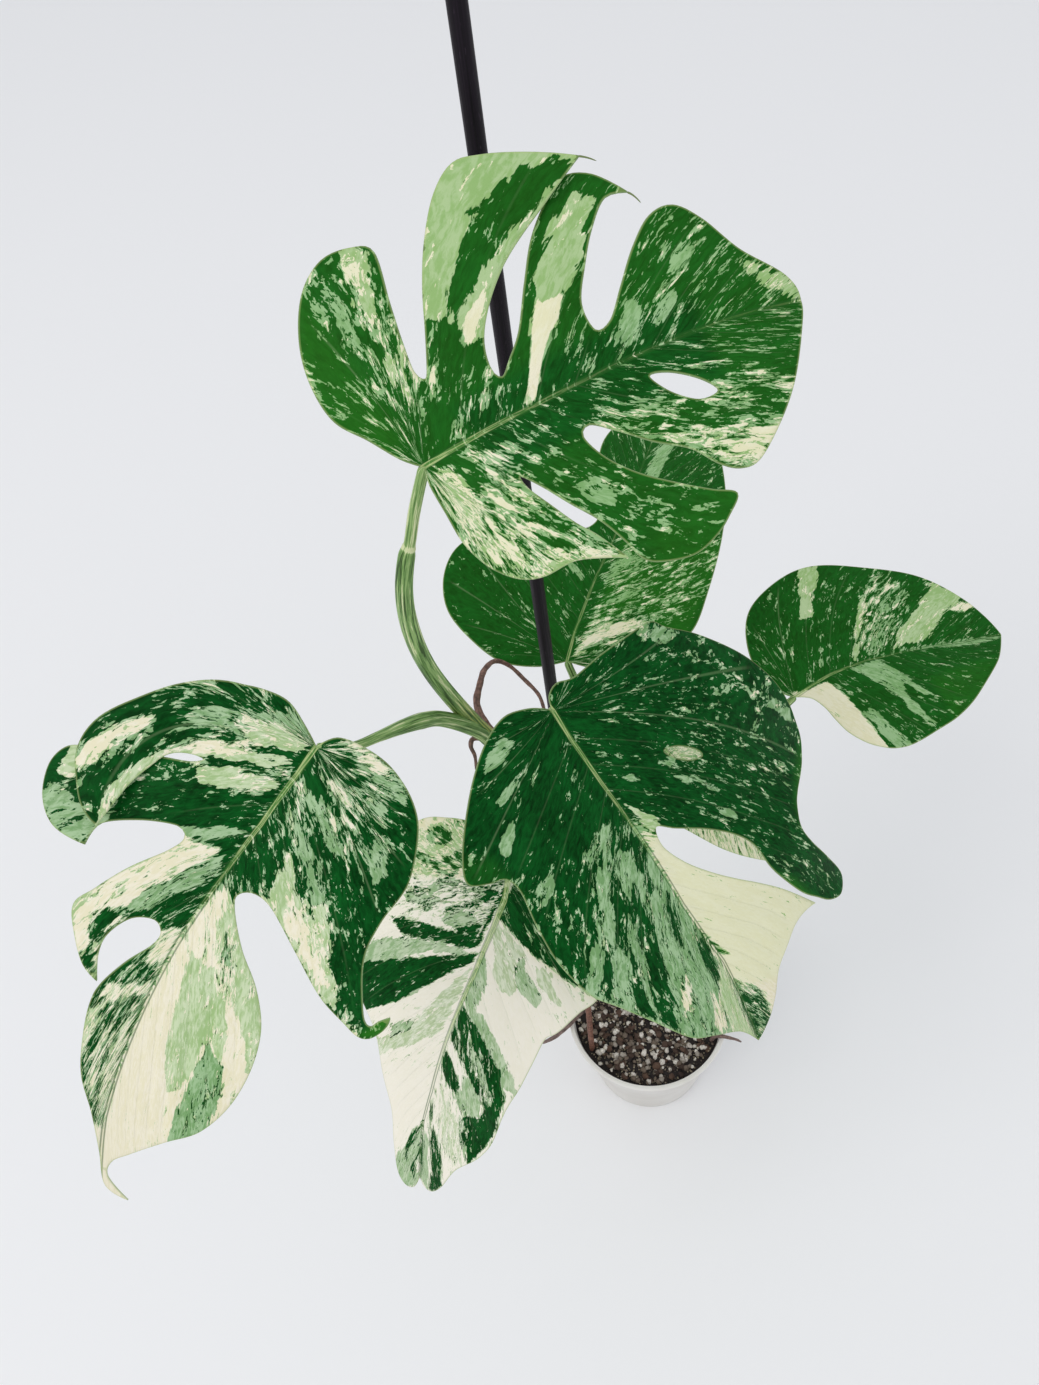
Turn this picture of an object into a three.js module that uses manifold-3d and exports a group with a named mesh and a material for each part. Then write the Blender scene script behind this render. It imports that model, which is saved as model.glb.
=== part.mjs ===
// A potted albo variegata monstera that climbs a thin stake.
// Millimetres, +Z up. The origin is the middle of the pot's flat underside.
import * as THREE from 'three';
import { mergeVertices } from 'three/addons/utils/BufferGeometryUtils.js';
import Module from 'manifold-3d';

const wasm = await Module();
wasm.setup();

// Driving dimensions

// The pot, a tapered round plastic one with a small turned-out rim.
const POT_TOP_RADIUS = 71;
const POT_BASE_RADIUS = 54;
const POT_HEIGHT = 130;
const POT_WALL = 1.8;
const POT_FLOOR = 2.4;
const RIM_WIDTH = 2;
const RIM_HEIGHT = 4;
const POT_SIDES = 48;
const DRAIN_HOLES = 6;
const DRAIN_RADIUS = 4;
const DRAIN_CIRCLE = 34;

// The potting mix, with lumps of bark and perlite in its surface.
const MIX_LEVEL = 117;
const LUMPS = 70;
const LUMP_SIZE = [2.2, 4.6];
const LUMP_CLEAR = 5;

// The gap that pieces keep where one is seated in another.
const SEAT_GAP = 0.3;

// Blades: thickness at the margin and at the midrib, and the size of their triangles.
const BLADE_THICKNESS = 0.8;
const RIB_THICKNESS = 1.6;
const OUTLINE_STEP = 7;
const INNER_STEP = 13;

// The stake: a straight round stick that leans a little.
const STAKE_RADIUS = 3.8;
const STAKE_FOOT = [-45.7, 28.2, 55];
const STAKE_TOP = [-42.9, 70, 975];

// Stems are curves through points [x, y, z, radius].
const STEM = [
  [-26, 24, 60, 7.5], [-29, 27, 118, 8], [-40, 20, 200, 7.5], [-54, 27, 285, 7.5],
  [-57, 34, 400, 7], [-63, 24, 520, 7], [-73, 5, 590, 6.5], [-78, -6, 610, 5],
];

const PETIOLES = {
  top_leaf: [
    [-77, -5, 608, 4.5], [-83, -13, 628, 4.5], [-93, -15, 658, 4.3], [-103, -19, 701, 4],
    [-105, -26, 739, 3.9], [-102, -33, 772, 3.5], [-97, -34, 792, 3.2], [-95, -34, 797, 2.2],
    [-90, -35, 814, 2.2], [-82.4, -37.7, 836.6, 2],
  ],
  left_leaf: [
    [-77, -5, 602, 4.5], [-82, -13, 624, 4.5], [-88, -16, 641, 4.3], [-104, -25, 669, 3.9],
    [-112, -33, 681, 4.2], [-121, -42, 691, 3.4], [-129, -51, 700, 2.6], [-140, -61, 710, 2.1],
    [-152.4, -66.4, 722.1, 1.9],
  ],
  middle_leaf: [
    [-64, 24, 525, 5], [-59, 9, 575, 4.8], [-54, -15, 630, 4], [-51, -35, 668, 3],
    [-49.9, -45.7, 687.7, 2.5],
  ],
  low_leaf: [
    [-58, 35, 395, 4.8], [-67, 19, 440, 4.5], [-80, -5, 478, 3.6], [-88, -23, 494, 2.8],
    [-91.3, -32.7, 498.2, 2.5],
  ],
  back_leaf: [
    [-60, 33, 455, 4.5], [-45, 32, 480, 4.3], [-31, 45, 520, 3.6], [-27, 59, 553, 2.8],
    [-31.3, 69.6, 573.9, 2.4],
  ],
  right_leaf: [
    [-52, 26, 262, 4.6], [-38, 22, 300, 4.5], [-22, 28, 350, 4.3], [0, 40, 400, 4], [30, 52, 432, 3.7],
    [62, 60, 448, 3.4], [92, 62, 472, 3], [110, 60.5, 495, 2.5], [115.8, 59.6, 504.3, 2.1],
  ],
  hidden_leaf: [
    [-56, 30, 345, 4.2], [-33, 29, 385, 3.8], [-5, 45, 430, 3], [11, 52, 474, 2.4],
    [17.5, 51.8, 498.5, 2],
  ],
};

const ROOTS = {
  root_arch: [
    [-77, -2, 604, 2.4], [-85, 8, 612, 2.1], [-88, 20, 615, 2], [-84, 33, 617, 1.8], [-80, 44, 614, 1.6],
    [-74, 51, 610, 1.4], [-67, 51, 604, 1.2], [-60, 44, 598, 1.2], [-53, 33, 595, 1.1],
    [-51, 21, 593, 0.9],
  ],
  root_short: [
    [-83, -13, 625, 1.3], [-92, -11.5, 627, 1.3], [-94, -13, 623, 1.2], [-93, -15, 616, 1],
    [-94, -18, 606, 0.7],
  ],
  root_into_mix: [
    [-52, 23, 258, 2.9], [-53, 7, 232, 2.7], [-54, -11, 190, 2.6], [-55.5, -20, 150, 2.5],
    [-56.4, -23, 118, 2.4], [-57, -24, 100, 2],
  ],
  root_over_left_rim: [
    [-54, 16, 106, 2.4], [-56, 12, 122, 2.4], [-62, 5, 133.5, 2.3], [-69, -1, 135.5, 2.2],
    [-77, -6, 134, 2.1], [-87, -10, 128.5, 1.9], [-97, -10.5, 121, 1.6], [-103, -9, 115, 1],
  ],
  root_over_right_rim: [
    [50, -34, 104, 1.8], [52, -35, 120, 1.8], [55, -36.2, 130, 1.8], [60, -38.5, 134, 1.7],
    [66, -41, 134.2, 1.5], [72, -43, 132, 1.1], [76, -44.5, 128, 0.7],
  ],
};

// The leaves. base is where the petiole ends. heading, rise and roll turn the midrib's first
// stretch: from +X towards +Y, up, and about itself. Along its length the midrib drops by droop
// degrees and turns left by sweep degrees. fold is how far each half [left, right] tilts up at the
// midrib, and curl how far it bends back down over 100 mm. wave is the height of the margin's waves
// 60 mm out, their length and their phase.
//
// The outline is drawn on the flat blade: [x along the midrib, y to its left], starting where the
// petiole joins, up the left side to the tip and back down the right. A third number marks a
// corner; the outline is smooth at every other point. A lobe that lies over its neighbour is lifted
// and swung, starting at root and growing towards tip, inside region.
const CORNER = 1;

const LEAVES = {
  top_leaf: {
    base: [-82.4, -37.7, 836.6], heading: 17, rise: 19.3, roll: 34, length: 146.5,
    droop: 14, sweep: -22, fold: [10, 8], curl: [14, 20], wave: [1, 70, 0],
    outline: [
      [0, 0, CORNER], [-5, 7], [-10, 19], [-15, 31], [-14, 45], [-9, 59], [0, 72], [10, 78], [19, 76],
      [24, 70], [20, 52], [17, 39], [15, 28], [17, 24],
      [20, 28], [25, 38], [30, 50], [36, 63], [43, 75], [50, 81], [58, 80], [69, 77], [78, 74],
      [85, 71, CORNER], [72, 59], [54, 44], [41, 28], [37, 16], [39, 11],
      [44, 15], [51, 22], [59, 35], [67, 48], [76, 58], [83, 63], [91, 60], [99, 50, CORNER],
      [92, 51], [85, 43], [79, 33], [73, 21], [74, 11],
      [80, 12], [87, 21], [95, 32], [103, 40], [111, 41], [119, 34], [129, 21], [143, 9],
      [147, 0], [144, -11], [136, -28], [126, -41], [114, -51], [105, -52], [97, -48], [89, -40],
      [77, -33], [66, -24], [58, -18],
      [54, -21], [58, -31], [67, -41], [80, -50], [91, -56], [100, -60], [94, -66], [86, -71], [75, -74],
      [62, -72], [54, -68], [50, -59], [45, -49], [38, -39], [32, -29], [27, -22],
      [27, -27], [31, -36], [36, -46], [41, -53], [48, -65, CORNER],
      [39, -61], [28, -57], [15, -56], [6, -52], [-1, -43], [-4, -31], [-3, -18], [-2, -7],
    ],
    holes: [[[85, -11], [92, -12], [102, -18], [107, -24], [99, -25], [90, -19]]],
    lobes: [{
      root: [28, 22], tip: [80, 78], lift: 5, swing: -10,
      region: [
        [16, 22], [21, 40], [26, 55], [33, 72], [36, 100], [115, 95], [88, 71], [76, 61], [66, 51.5],
        [55, 41], [46, 27], [38, 13],
      ],
    }],
  },

  middle_leaf: {
    base: [-49.9, -45.7, 687.7], heading: -48.2, rise: -40.8, roll: 0, length: 226.5,
    droop: 25, sweep: -7, fold: [6, 6], curl: [20, 30], wave: [2, 90, 40],
    outline: [
      [0, 0, CORNER], [-6, 3], [-8, 10], [-4, 19], [-2, 37], [2, 58], [6, 74], [14, 80], [28, 93],
      [48, 106], [66, 113.5], [89, 121], [104, 125], [117, 124], [124, 112], [129, 92], [134, 84],
      [143, 80], [156, 84], [173, 94], [188, 103], [195, 103], [199, 96], [195, 85], [187, 76],
      [177, 66.5], [161, 57], [145, 50], [126, 46], [113, 39], [99, 27], [86, 13], [78, 5],
      [88, 2], [103, 7], [118, 16], [132, 26.5], [147, 39], [165, 53], [192, 71, CORNER],
      [188, 61], [187, 50], [191, 39], [198, 27], [211, 19], [221, 11],
      [229, 0, CORNER], [211, -9], [196, -25], [183, -38], [158, -51], [136, -62], [117, -71], [94, -74],
      [72, -71], [52, -67], [41, -69], [36, -77], [29, -84], [19, -79], [7, -67], [-5, -51], [-13, -35],
      [-15, -21], [-10, -10], [-4, -3],
    ],
    holes: [[[53, 32], [57, 40], [66, 48], [71, 49], [67, 41], [59, 34]]],
    lobes: [{
      root: [126, 62], tip: [207, 95], lift: 6, swing: -10,
      region: [
        [100, 28], [126, 45], [145, 48.5], [161, 54.8], [177, 63], [190, 73], [200, 82], [215, 90],
        [215, 135], [95, 135],
      ],
    }],
  },

  left_leaf: {
    base: [-152.4, -66.4, 722.1], heading: -147, rise: -18, roll: -32, length: 228,
    droop: 25, sweep: 30, fold: [6, 6], curl: [20, 20], wave: [2, 85, 10],
    outline: [
      [0, 0, CORNER], [-9, 4], [-14, 15], [-16, 29], [-12, 45], [-2, 57], [20, 68], [43, 69], [62, 72],
      [85, 82], [97, 88], [99, 92], [93, 94], [87, 97, CORNER], [93, 98], [101, 97], [107, 94], [108, 89],
      [103, 80], [95, 66], [80, 47], [68, 29], [66, 19], [70, 13],
      [76, 14], [91, 26], [105, 40], [123, 50], [146, 53], [172, 50], [191, 41], [203, 27], [217, 12],
      [225, 4], [235, 3], [248, 13, CORNER], [241, 2], [220, -2], [199, -8], [180, -16], [161, -20],
      [146, -22], [136, -21], [122, -15], [110, -8], [103, -7],
      [99, -12], [103, -21], [114, -27], [124, -27], [135, -23, CORNER], [131, -31], [121, -39],
      [109, -45], [99, -40], [85, -32], [71, -22], [63, -19],
      [60, -24], [67, -36], [79, -46], [89, -44, CORNER], [95, -57], [94, -69], [87, -78], [78, -80],
      [70, -76], [60, -67], [50, -56], [43, -46], [37, -36], [33, -32],
      [33, -36], [36, -46], [42, -54], [47, -63], [52, -74], [54, -84, CORNER], [44, -83], [34, -80],
      [25, -77], [19, -71], [15, -60], [9, -51], [3, -43], [-3, -32], [-6, -21], [-3, -8],
    ],
    holes: [],
    lobes: [{
      root: [32, -31], tip: [50, -95], lift: 12, swing: 100,
      region: [[33, -32], [40, -46], [51, -63], [62, -80], [62, -110], [-40, -110], [-40, -20]],
    }, {
      root: [46, -26], tip: [80, -85], lift: -8, swing: -30,
      region: [
        [33, -32], [40, -46], [51, -63], [62, -80], [62, -110], [130, -110], [130, -70], [103, -52],
        [90, -42], [76, -36], [63, -20], [40, -20],
      ],
    }],
  },

  low_leaf: {
    base: [-91.3, -32.7, 498.2], heading: -142, rise: -34.7, roll: 0, length: 232.5,
    droop: 25, sweep: 20, fold: [6, 6], curl: [15, 15], wave: [3, 95, 60],
    outline: [
      [0, 0, CORNER], [-7, 2], [-15, 12], [-18, 31], [-10, 50], [5, 71], [22, 85], [37, 81.5], [50, 78],
      [60, 74], [68, 69], [78, 67], [97, 65.5], [112, 64.5], [126, 62], [162, 55], [183, 46], [201, 31],
      [222, 20], [233, 11], [233, 4],
      [227, 0, CORNER], [238, -5], [239, -12], [230, -18], [208, -21], [182, -24], [158, -37], [140, -48],
      [121, -65], [99, -82], [70, -92], [38, -90], [6, -75], [-7, -58], [-15, -39], [-13, -19], [-5, -5],
    ],
    holes: [],
    lobes: [],
  },

  back_leaf: {
    base: [-31.3, 69.6, 573.9], heading: 61, rise: 7.7, roll: 12, length: 249,
    droop: 15, sweep: 0, fold: [8, 8], curl: [12, 12], wave: [1.5, 110, 30],
    outline: [
      [0, 0, CORNER], [-11, 16], [-16, 38], [-8, 61], [6, 81], [27, 92], [48, 92], [64, 80], [78, 55],
      [92, 29], [102, 17], [116, 15], [138, 23], [162, 30], [188, 31], [220, 21], [249, 0, CORNER],
      [235, -27], [206, -46], [168, -60], [122, -67], [79, -69], [46, -67], [22, -54], [6, -35], [0, -16],
    ],
    holes: [],
    lobes: [],
  },

  right_leaf: {
    base: [115.8, 59.6, 504.3], heading: 23.7, rise: 1.6, roll: 8, length: 161,
    droop: 10, sweep: -27, fold: [8, 8], curl: [12, 12], wave: [1.5, 80, 0],
    outline: [
      [0, 0, CORNER], [-6, 8], [-9, 24], [-4, 44], [9, 65], [25, 76], [48, 81], [71, 76], [96, 65],
      [120, 49], [141, 30], [153, 14], [161, 0, CORNER], [149, -22], [121, -46], [96, -59], [72, -64],
      [47, -67], [32, -65], [22, -59], [15, -51], [10.5, -40], [10, -28], [10.5, -18], [8, -7],
    ],
    holes: [],
    lobes: [],
  },

  hidden_leaf: {
    base: [17.5, 51.8, 498.5], heading: -40, rise: -38, roll: 0, length: 130,
    droop: 15, sweep: 0, fold: [8, 8], curl: [12, 12], wave: [1, 60, 0],
    outline: [
      [0, 0, CORNER], [-6, 9], [-2, 21], [11, 32], [32, 39], [58, 40], [84, 36], [108, 22],
      [130, 0, CORNER], [107, -14], [84, -25], [59, -33], [33, -39], [11, -35], [-3, -22], [-6, -9],
    ],
    holes: [],
    lobes: [],
  },
};

const COLOURS = {
  pot: '#e9e9e4',
  mix: '#33271f',
  stake: '#2c1d27',
  stem: '#7c9a4d',
  root: '#6b4a3a',
  top_leaf: '#2f6a35',
  middle_leaf: '#1f5236',
  left_leaf: '#7d9e77',
  low_leaf: '#8fae88',
  back_leaf: '#2a6430',
  right_leaf: '#3b7340',
  hidden_leaf: '#b5c79a',
};

// Solids and meshes

// Makes a solid of a closed geometry, with its faces turned outward.
function solidOf(geometry) {
  const bare = geometry.clone();
  bare.deleteAttribute('normal');
  bare.deleteAttribute('uv');
  const merged = mergeVertices(bare, 1e-4);
  const position = merged.attributes.position;
  const index = Uint32Array.from(merged.index.array);
  const [a, b, c] = [new THREE.Vector3(), new THREE.Vector3(), new THREE.Vector3()];
  let volume = 0;
  for (let i = 0; i < index.length; i += 3) {
    a.fromBufferAttribute(position, index[i]);
    b.fromBufferAttribute(position, index[i + 1]);
    c.fromBufferAttribute(position, index[i + 2]);
    volume += a.dot(b.cross(c)) / 6;
  }
  if (volume < 0) index.reverse();
  const vertProperties = Float32Array.from(position.array);
  return new wasm.Manifold(new wasm.Mesh({ numProp: 3, vertProperties, triVerts: index }));
}

function geometryOf(positions, index) {
  const geometry = new THREE.BufferGeometry();
  geometry.setAttribute('position', new THREE.Float32BufferAttribute(positions, 3));
  geometry.setIndex(index);
  return geometry;
}

function meshOf(name, solid, colour, roughness) {
  const { vertProperties, triVerts } = solid.getMesh();
  const geometry = geometryOf(Array.from(vertProperties), Array.from(triVerts));
  geometry.computeVertexNormals();
  const material = new THREE.MeshStandardMaterial({ color: colour, roughness, metalness: 0 });
  const mesh = new THREE.Mesh(geometry, material);
  mesh.name = name;
  return mesh;
}

// A closed round tube along a smooth curve through points [x, y, z, radius]. grow makes it fatter
// and longer by that much, for the hole that another piece keeps round it.
function tube(points, sides, step, grow = 0) {
  const curve = new THREE.CatmullRomCurve3(points.map(([x, y, z]) => new THREE.Vector3(x, y, z)));
  const rings = Math.ceil(curve.getLength() / step);
  const { normals, binormals, tangents } = curve.computeFrenetFrames(rings);
  const positions = [];
  const index = [];
  for (let i = 0; i <= rings; i++) {
    const place = curve.getUtoTmapping(i / rings) * (points.length - 1);
    const before = Math.min(Math.floor(place), points.length - 2);
    const radius = THREE.MathUtils.lerp(points[before][3], points[before + 1][3], place - before) + grow;
    const centre = curve.getPointAt(i / rings);
    if (i === 0) centre.addScaledVector(tangents[i], -grow);
    if (i === rings) centre.addScaledVector(tangents[i], grow);
    for (let j = 0; j < sides; j++) {
      const angle = (2 * Math.PI * j) / sides;
      const point = centre.clone();
      point.addScaledVector(normals[i], radius * Math.cos(angle));
      point.addScaledVector(binormals[i], radius * Math.sin(angle));
      positions.push(...point);
    }
  }
  for (let i = 0; i < rings; i++) {
    for (let j = 0; j < sides; j++) {
      const [a, b] = [i * sides + j, i * sides + ((j + 1) % sides)];
      index.push(a, b, b + sides, a, b + sides, a + sides);
    }
  }
  for (let j = 1; j < sides - 1; j++) {
    const last = rings * sides;
    index.push(0, j + 1, j, last, last + j, last + j + 1);
  }
  return solidOf(geometryOf(positions, index));
}

function lathe(profile) {
  const points = profile.map(([radius, height]) => new THREE.Vector2(radius, height));
  return solidOf(new THREE.LatheGeometry(points, POT_SIDES).rotateX(Math.PI / 2));
}

// A steady stream of numbers from 0 to 1 for the lumps.
function seededRandom(seed) {
  let state = seed;
  return () => {
    state = (state * 1664525 + 1013904223) % 4294967296;
    return state / 4294967296;
  };
}

// The held shape of a blade

// Where a point of the flat blade lies once the blade is bent and held: a function of x and y.
function heldSurface(leaf) {
  const { degToRad } = THREE.MathUtils;
  const heading = degToRad(leaf.heading);
  const rise = degToRad(leaf.rise);
  const forward = new THREE.Vector3(
    Math.cos(rise) * Math.cos(heading), Math.cos(rise) * Math.sin(heading), Math.sin(rise));
  const left = new THREE.Vector3(-Math.sin(heading), Math.cos(heading), 0);
  left.applyAxisAngle(forward, degToRad(leaf.roll));
  const up = new THREE.Vector3().crossVectors(forward, left);
  const held = new THREE.Matrix4().makeBasis(forward, left, up).setPosition(...leaf.base);

  const droop = degToRad(leaf.droop);
  const sweep = degToRad(leaf.sweep);
  // How far a line has gone forward and sideways once it has turned by rate radians per unit.
  const ahead = (rate, s) => (Math.abs(rate) < 1e-6 ? s : Math.sin(rate * s) / rate);
  const aside = (rate, s) => (Math.abs(rate) < 1e-6 ? 0 : (1 - Math.cos(rate * s)) / rate);

  return (flatX, flatY) => {
    const [x, y, lifted] = poseLobes(leaf.lobes, flatX, flatY);
    const s = x / leaf.length;
    const side = y >= 0 ? 0 : 1;
    const rib = new THREE.Vector3(
      (leaf.length / 2) * (ahead(sweep + droop, s) + ahead(sweep - droop, s)),
      (leaf.length / 2) * (aside(sweep + droop, s) + aside(sweep - droop, s)),
      -leaf.length * aside(droop, s));
    const [turn, drop] = [sweep * s, droop * s];
    const along = new THREE.Vector3(
      Math.cos(turn) * Math.cos(drop), Math.sin(turn) * Math.cos(drop), -Math.sin(drop));
    const across = new THREE.Vector3(-Math.sin(turn), Math.cos(turn), 0);
    const normal = new THREE.Vector3().crossVectors(along, across);

    const out = Math.abs(y);
    const tilt = degToRad(leaf.fold[side]);
    const bend = degToRad(leaf.curl[side]) / 100;
    const sideways = (Math.sin(tilt) - Math.sin(tilt - bend * out)) / bend;
    const arched = (Math.cos(tilt - bend * out) - Math.cos(tilt)) / bend;
    const [waveHeight, waveLength, wavePhase] = leaf.wave;
    const phase = (2 * Math.PI * (x - out / 2)) / waveLength + degToRad(wavePhase) + 2 * side;
    const waved = waveHeight * Math.pow(out / 60, 1.5) * Math.sin(phase);
    rib.addScaledVector(across, Math.sign(y) * sideways);
    rib.addScaledVector(normal, arched + waved + lifted);
    return rib.applyMatrix4(held);
  };
}

// Swings and lifts the points of a lobe, more and more towards its tip.
function poseLobes(lobes, x, y) {
  for (const { root, tip, lift, swing, region } of lobes) {
    const axis = new THREE.Vector2(tip[0] - root[0], tip[1] - root[1]);
    const length = axis.length();
    axis.normalize();
    const along = (x - root[0]) * axis.x + (y - root[1]) * axis.y;
    const across = (y - root[1]) * axis.x - (x - root[0]) * axis.y;
    if (along > 0 && isInside([x, y], region)) {
      const rate = THREE.MathUtils.degToRad(swing) / length;
      const turn = rate * along;
      const newAlong = Math.sin(turn) / rate - across * Math.sin(turn);
      const newAcross = (1 - Math.cos(turn)) / rate + across * Math.cos(turn);
      return [
        root[0] + newAlong * axis.x - newAcross * axis.y,
        root[1] + newAlong * axis.y + newAcross * axis.x,
        lift * (along / length) ** 2,
      ];
    }
  }
  return [x, y, 0];
}

// Flat outlines and their triangles

function isInside([x, y], outline) {
  let inside = false;
  outline.forEach(([ax, ay], i) => {
    const [bx, by] = outline[(i + 1) % outline.length];
    if (ay > y !== by > y && x < ax + ((y - ay) * (bx - ax)) / (by - ay)) inside = !inside;
  });
  return inside;
}

function distanceToOutline([x, y], outline) {
  let nearest = Infinity;
  outline.forEach(([ax, ay], i) => {
    const [bx, by] = outline[(i + 1) % outline.length];
    const [dx, dy] = [bx - ax, by - ay];
    const t = THREE.MathUtils.clamp(((x - ax) * dx + (y - ay) * dy) / (dx * dx + dy * dy), 0, 1);
    nearest = Math.min(nearest, Math.hypot(x - ax - t * dx, y - ay - t * dy));
  });
  return nearest;
}

// A closed line through the outline's points: smooth, with corners where they are marked.
function smoothOutline(outline, step) {
  const count = outline.length;
  const at = (i) => outline[(i + count) % count];
  const slope = (i) => [0, 1].map((k) => (at(i)[2] ? 0 : (at(i + 1)[k] - at(i - 1)[k]) / 2));
  const line = [];
  outline.forEach((start, i) => {
    const end = at(i + 1);
    const pieces = Math.max(1, Math.round(Math.hypot(end[0] - start[0], end[1] - start[1]) / step));
    for (let j = 0; j < pieces; j++) {
      const t = j / pieces;
      const [h0, h1] = [(1 + 2 * t) * (1 - t) ** 2, t * (1 - t) ** 2];
      const [h2, h3] = [t * t * (3 - 2 * t), t * t * (t - 1)];
      line.push([0, 1].map((k) => h0 * start[k] + h1 * slope(i)[k] + h2 * end[k] + h3 * slope(i + 1)[k]));
    }
  });
  return line;
}

function withCircle(points, a, b, c) {
  const [[ax, ay], [bx, by], [cx, cy]] = [points[a], points[b], points[c]];
  const d = 2 * (ax * (by - cy) + bx * (cy - ay) + cx * (ay - by));
  const [a2, b2, c2] = [ax * ax + ay * ay, bx * bx + by * by, cx * cx + cy * cy];
  const x = (a2 * (by - cy) + b2 * (cy - ay) + c2 * (ay - by)) / d;
  const y = (a2 * (cx - bx) + b2 * (ax - cx) + c2 * (bx - ax)) / d;
  return { corners: [a, b, c], x, y, radius: Math.hypot(ax - x, ay - y) };
}

// Delaunay's triangles of flat points: each new point clears the triangles whose circle it is in.
function delaunay(points) {
  const count = points.length;
  const far = 1e4;
  const all = [...points, [-far, -far], [far, -far], [0, far]];
  let triangles = [withCircle(all, count, count + 1, count + 2)];
  points.forEach(([x, y], i) => {
    const edges = new Map();
    triangles = triangles.filter((triangle) => {
      if (Math.hypot(x - triangle.x, y - triangle.y) >= triangle.radius) return true;
      triangle.corners.forEach((a, k) => {
        const b = triangle.corners[(k + 1) % 3];
        if (!edges.delete(`${b},${a}`)) edges.set(`${a},${b}`, [a, b]);
      });
      return false;
    });
    for (const [a, b] of edges.values()) triangles.push(withCircle(all, a, b, i));
  });
  return triangles.map(({ corners }) => corners).filter((corners) => Math.max(...corners) < count);
}

// Triangles that fill an outline with holes. A stretch of outline that they miss is halved.
function fillOutline(outline, holes, step) {
  const loops = [outline, ...holes].map((loop) => [...loop]);
  const inner = [];
  const xs = outline.map(([x]) => x);
  const ys = outline.map(([, y]) => y);
  const isClear = (p, room) => isInside(p, outline) && !holes.some((hole) => isInside(p, hole))
    && loops.every((loop) => distanceToOutline(p, loop) > room);
  for (let x = 0; x < Math.max(...xs); x += step * 0.8) {
    if (isClear([x, 0], 0.4 * step)) inner.push([x, 0]);
  }
  const rowHeight = (step * Math.sqrt(3)) / 2;
  for (let row = Math.floor(Math.min(...ys) / rowHeight); row * rowHeight < Math.max(...ys); row++) {
    if (row === 0) continue;
    const shift = row % 2 === 0 ? 0 : step / 2;
    for (let x = Math.floor(Math.min(...xs) / step) * step + shift; x < Math.max(...xs); x += step) {
      if (isClear([x, row * rowHeight], 0.55 * step)) inner.push([x, row * rowHeight]);
    }
  }
  for (;;) {
    const points = [...loops.flat(), ...inner];
    const triangles = delaunay(points);
    const drawn = new Set(triangles.flatMap(([a, b, c]) => [`${a},${b}`, `${b},${c}`, `${c},${a}`]));
    let first = 0;
    let halved = false;
    for (const loop of loops) {
      const count = loop.length;
      for (let i = count - 1; i >= 0; i--) {
        const [a, b] = [first + i, first + ((i + 1) % count)];
        if (drawn.has(`${a},${b}`) || drawn.has(`${b},${a}`)) continue;
        const [p, q] = [points[a], points[b]];
        loop.splice(i + 1, 0, [(p[0] + q[0]) / 2, (p[1] + q[1]) / 2]);
        halved = true;
      }
      first += count;
    }
    if (halved) continue;
    const kept = triangles.filter((corners) => {
      const middle = [0, 1].map((k) => corners.reduce((sum, corner) => sum + points[corner][k] / 3, 0));
      return isInside(middle, loops[0]) && !loops.slice(1).some((hole) => isInside(middle, hole));
    });
    return { points, triangles: kept };
  }
}

// A blade: the filled outline twice, a thickness apart, joined along every free edge.
function blade(leaf) {
  const surface = heldSurface(leaf);
  const outline = smoothOutline(leaf.outline, OUTLINE_STEP);
  const holes = leaf.holes.map((hole) => smoothOutline(hole, OUTLINE_STEP));
  const { points, triangles } = fillOutline(outline, holes, INNER_STEP);
  const count = points.length;
  const positions = [];
  for (const side of [0.5, -0.5]) {
    for (const [x, y] of points) {
      const here = surface(x, y);
      const slopeX = surface(x + 0.5, y).sub(surface(x - 0.5, y));
      const slopeY = surface(x, y + 0.5).sub(surface(x, y - 0.5));
      const normal = slopeX.cross(slopeY).normalize();
      const fading = THREE.MathUtils.clamp(1 - x / leaf.length, 0, 1);
      const thick = y === 0 ? THREE.MathUtils.lerp(BLADE_THICKNESS, RIB_THICKNESS, fading) : BLADE_THICKNESS;
      positions.push(...here.addScaledVector(normal, side * thick));
    }
  }
  const index = [];
  const edges = new Map();
  for (const [a, b, c] of triangles) {
    index.push(a, b, c, count + a, count + c, count + b);
    for (const [p, q] of [[a, b], [b, c], [c, a]]) {
      if (!edges.delete(`${q},${p}`)) edges.set(`${p},${q}`, [p, q]);
    }
  }
  for (const [p, q] of edges.values()) index.push(q, p, count + p, q, count + p, count + q);
  return solidOf(geometryOf(positions, index));
}

// The pieces

const wallSlope = (POT_TOP_RADIUS - POT_BASE_RADIUS) / POT_HEIGHT;
const potInside = (z) => POT_BASE_RADIUS - POT_WALL + wallSlope * z;

function makePot() {
  const outerWallTop = POT_TOP_RADIUS - wallSlope * RIM_HEIGHT;
  let pot = lathe([
    [0, 0], [POT_BASE_RADIUS, 0], [outerWallTop, POT_HEIGHT - RIM_HEIGHT],
    [POT_TOP_RADIUS + RIM_WIDTH, POT_HEIGHT - RIM_HEIGHT], [POT_TOP_RADIUS + RIM_WIDTH, POT_HEIGHT - 1],
    [POT_TOP_RADIUS + RIM_WIDTH - 1, POT_HEIGHT], [potInside(POT_HEIGHT), POT_HEIGHT],
    [potInside(POT_FLOOR), POT_FLOOR], [0, POT_FLOOR],
  ]);
  for (let i = 0; i < DRAIN_HOLES; i++) {
    const angle = (2 * Math.PI * i) / DRAIN_HOLES;
    const hole = new THREE.CylinderGeometry(DRAIN_RADIUS, DRAIN_RADIUS, 4 * POT_FLOOR, 12);
    hole.rotateX(Math.PI / 2);
    hole.translate(DRAIN_CIRCLE * Math.cos(angle), DRAIN_CIRCLE * Math.sin(angle), 0);
    pot = pot.subtract(solidOf(hole));
  }
  return pot;
}

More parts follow.
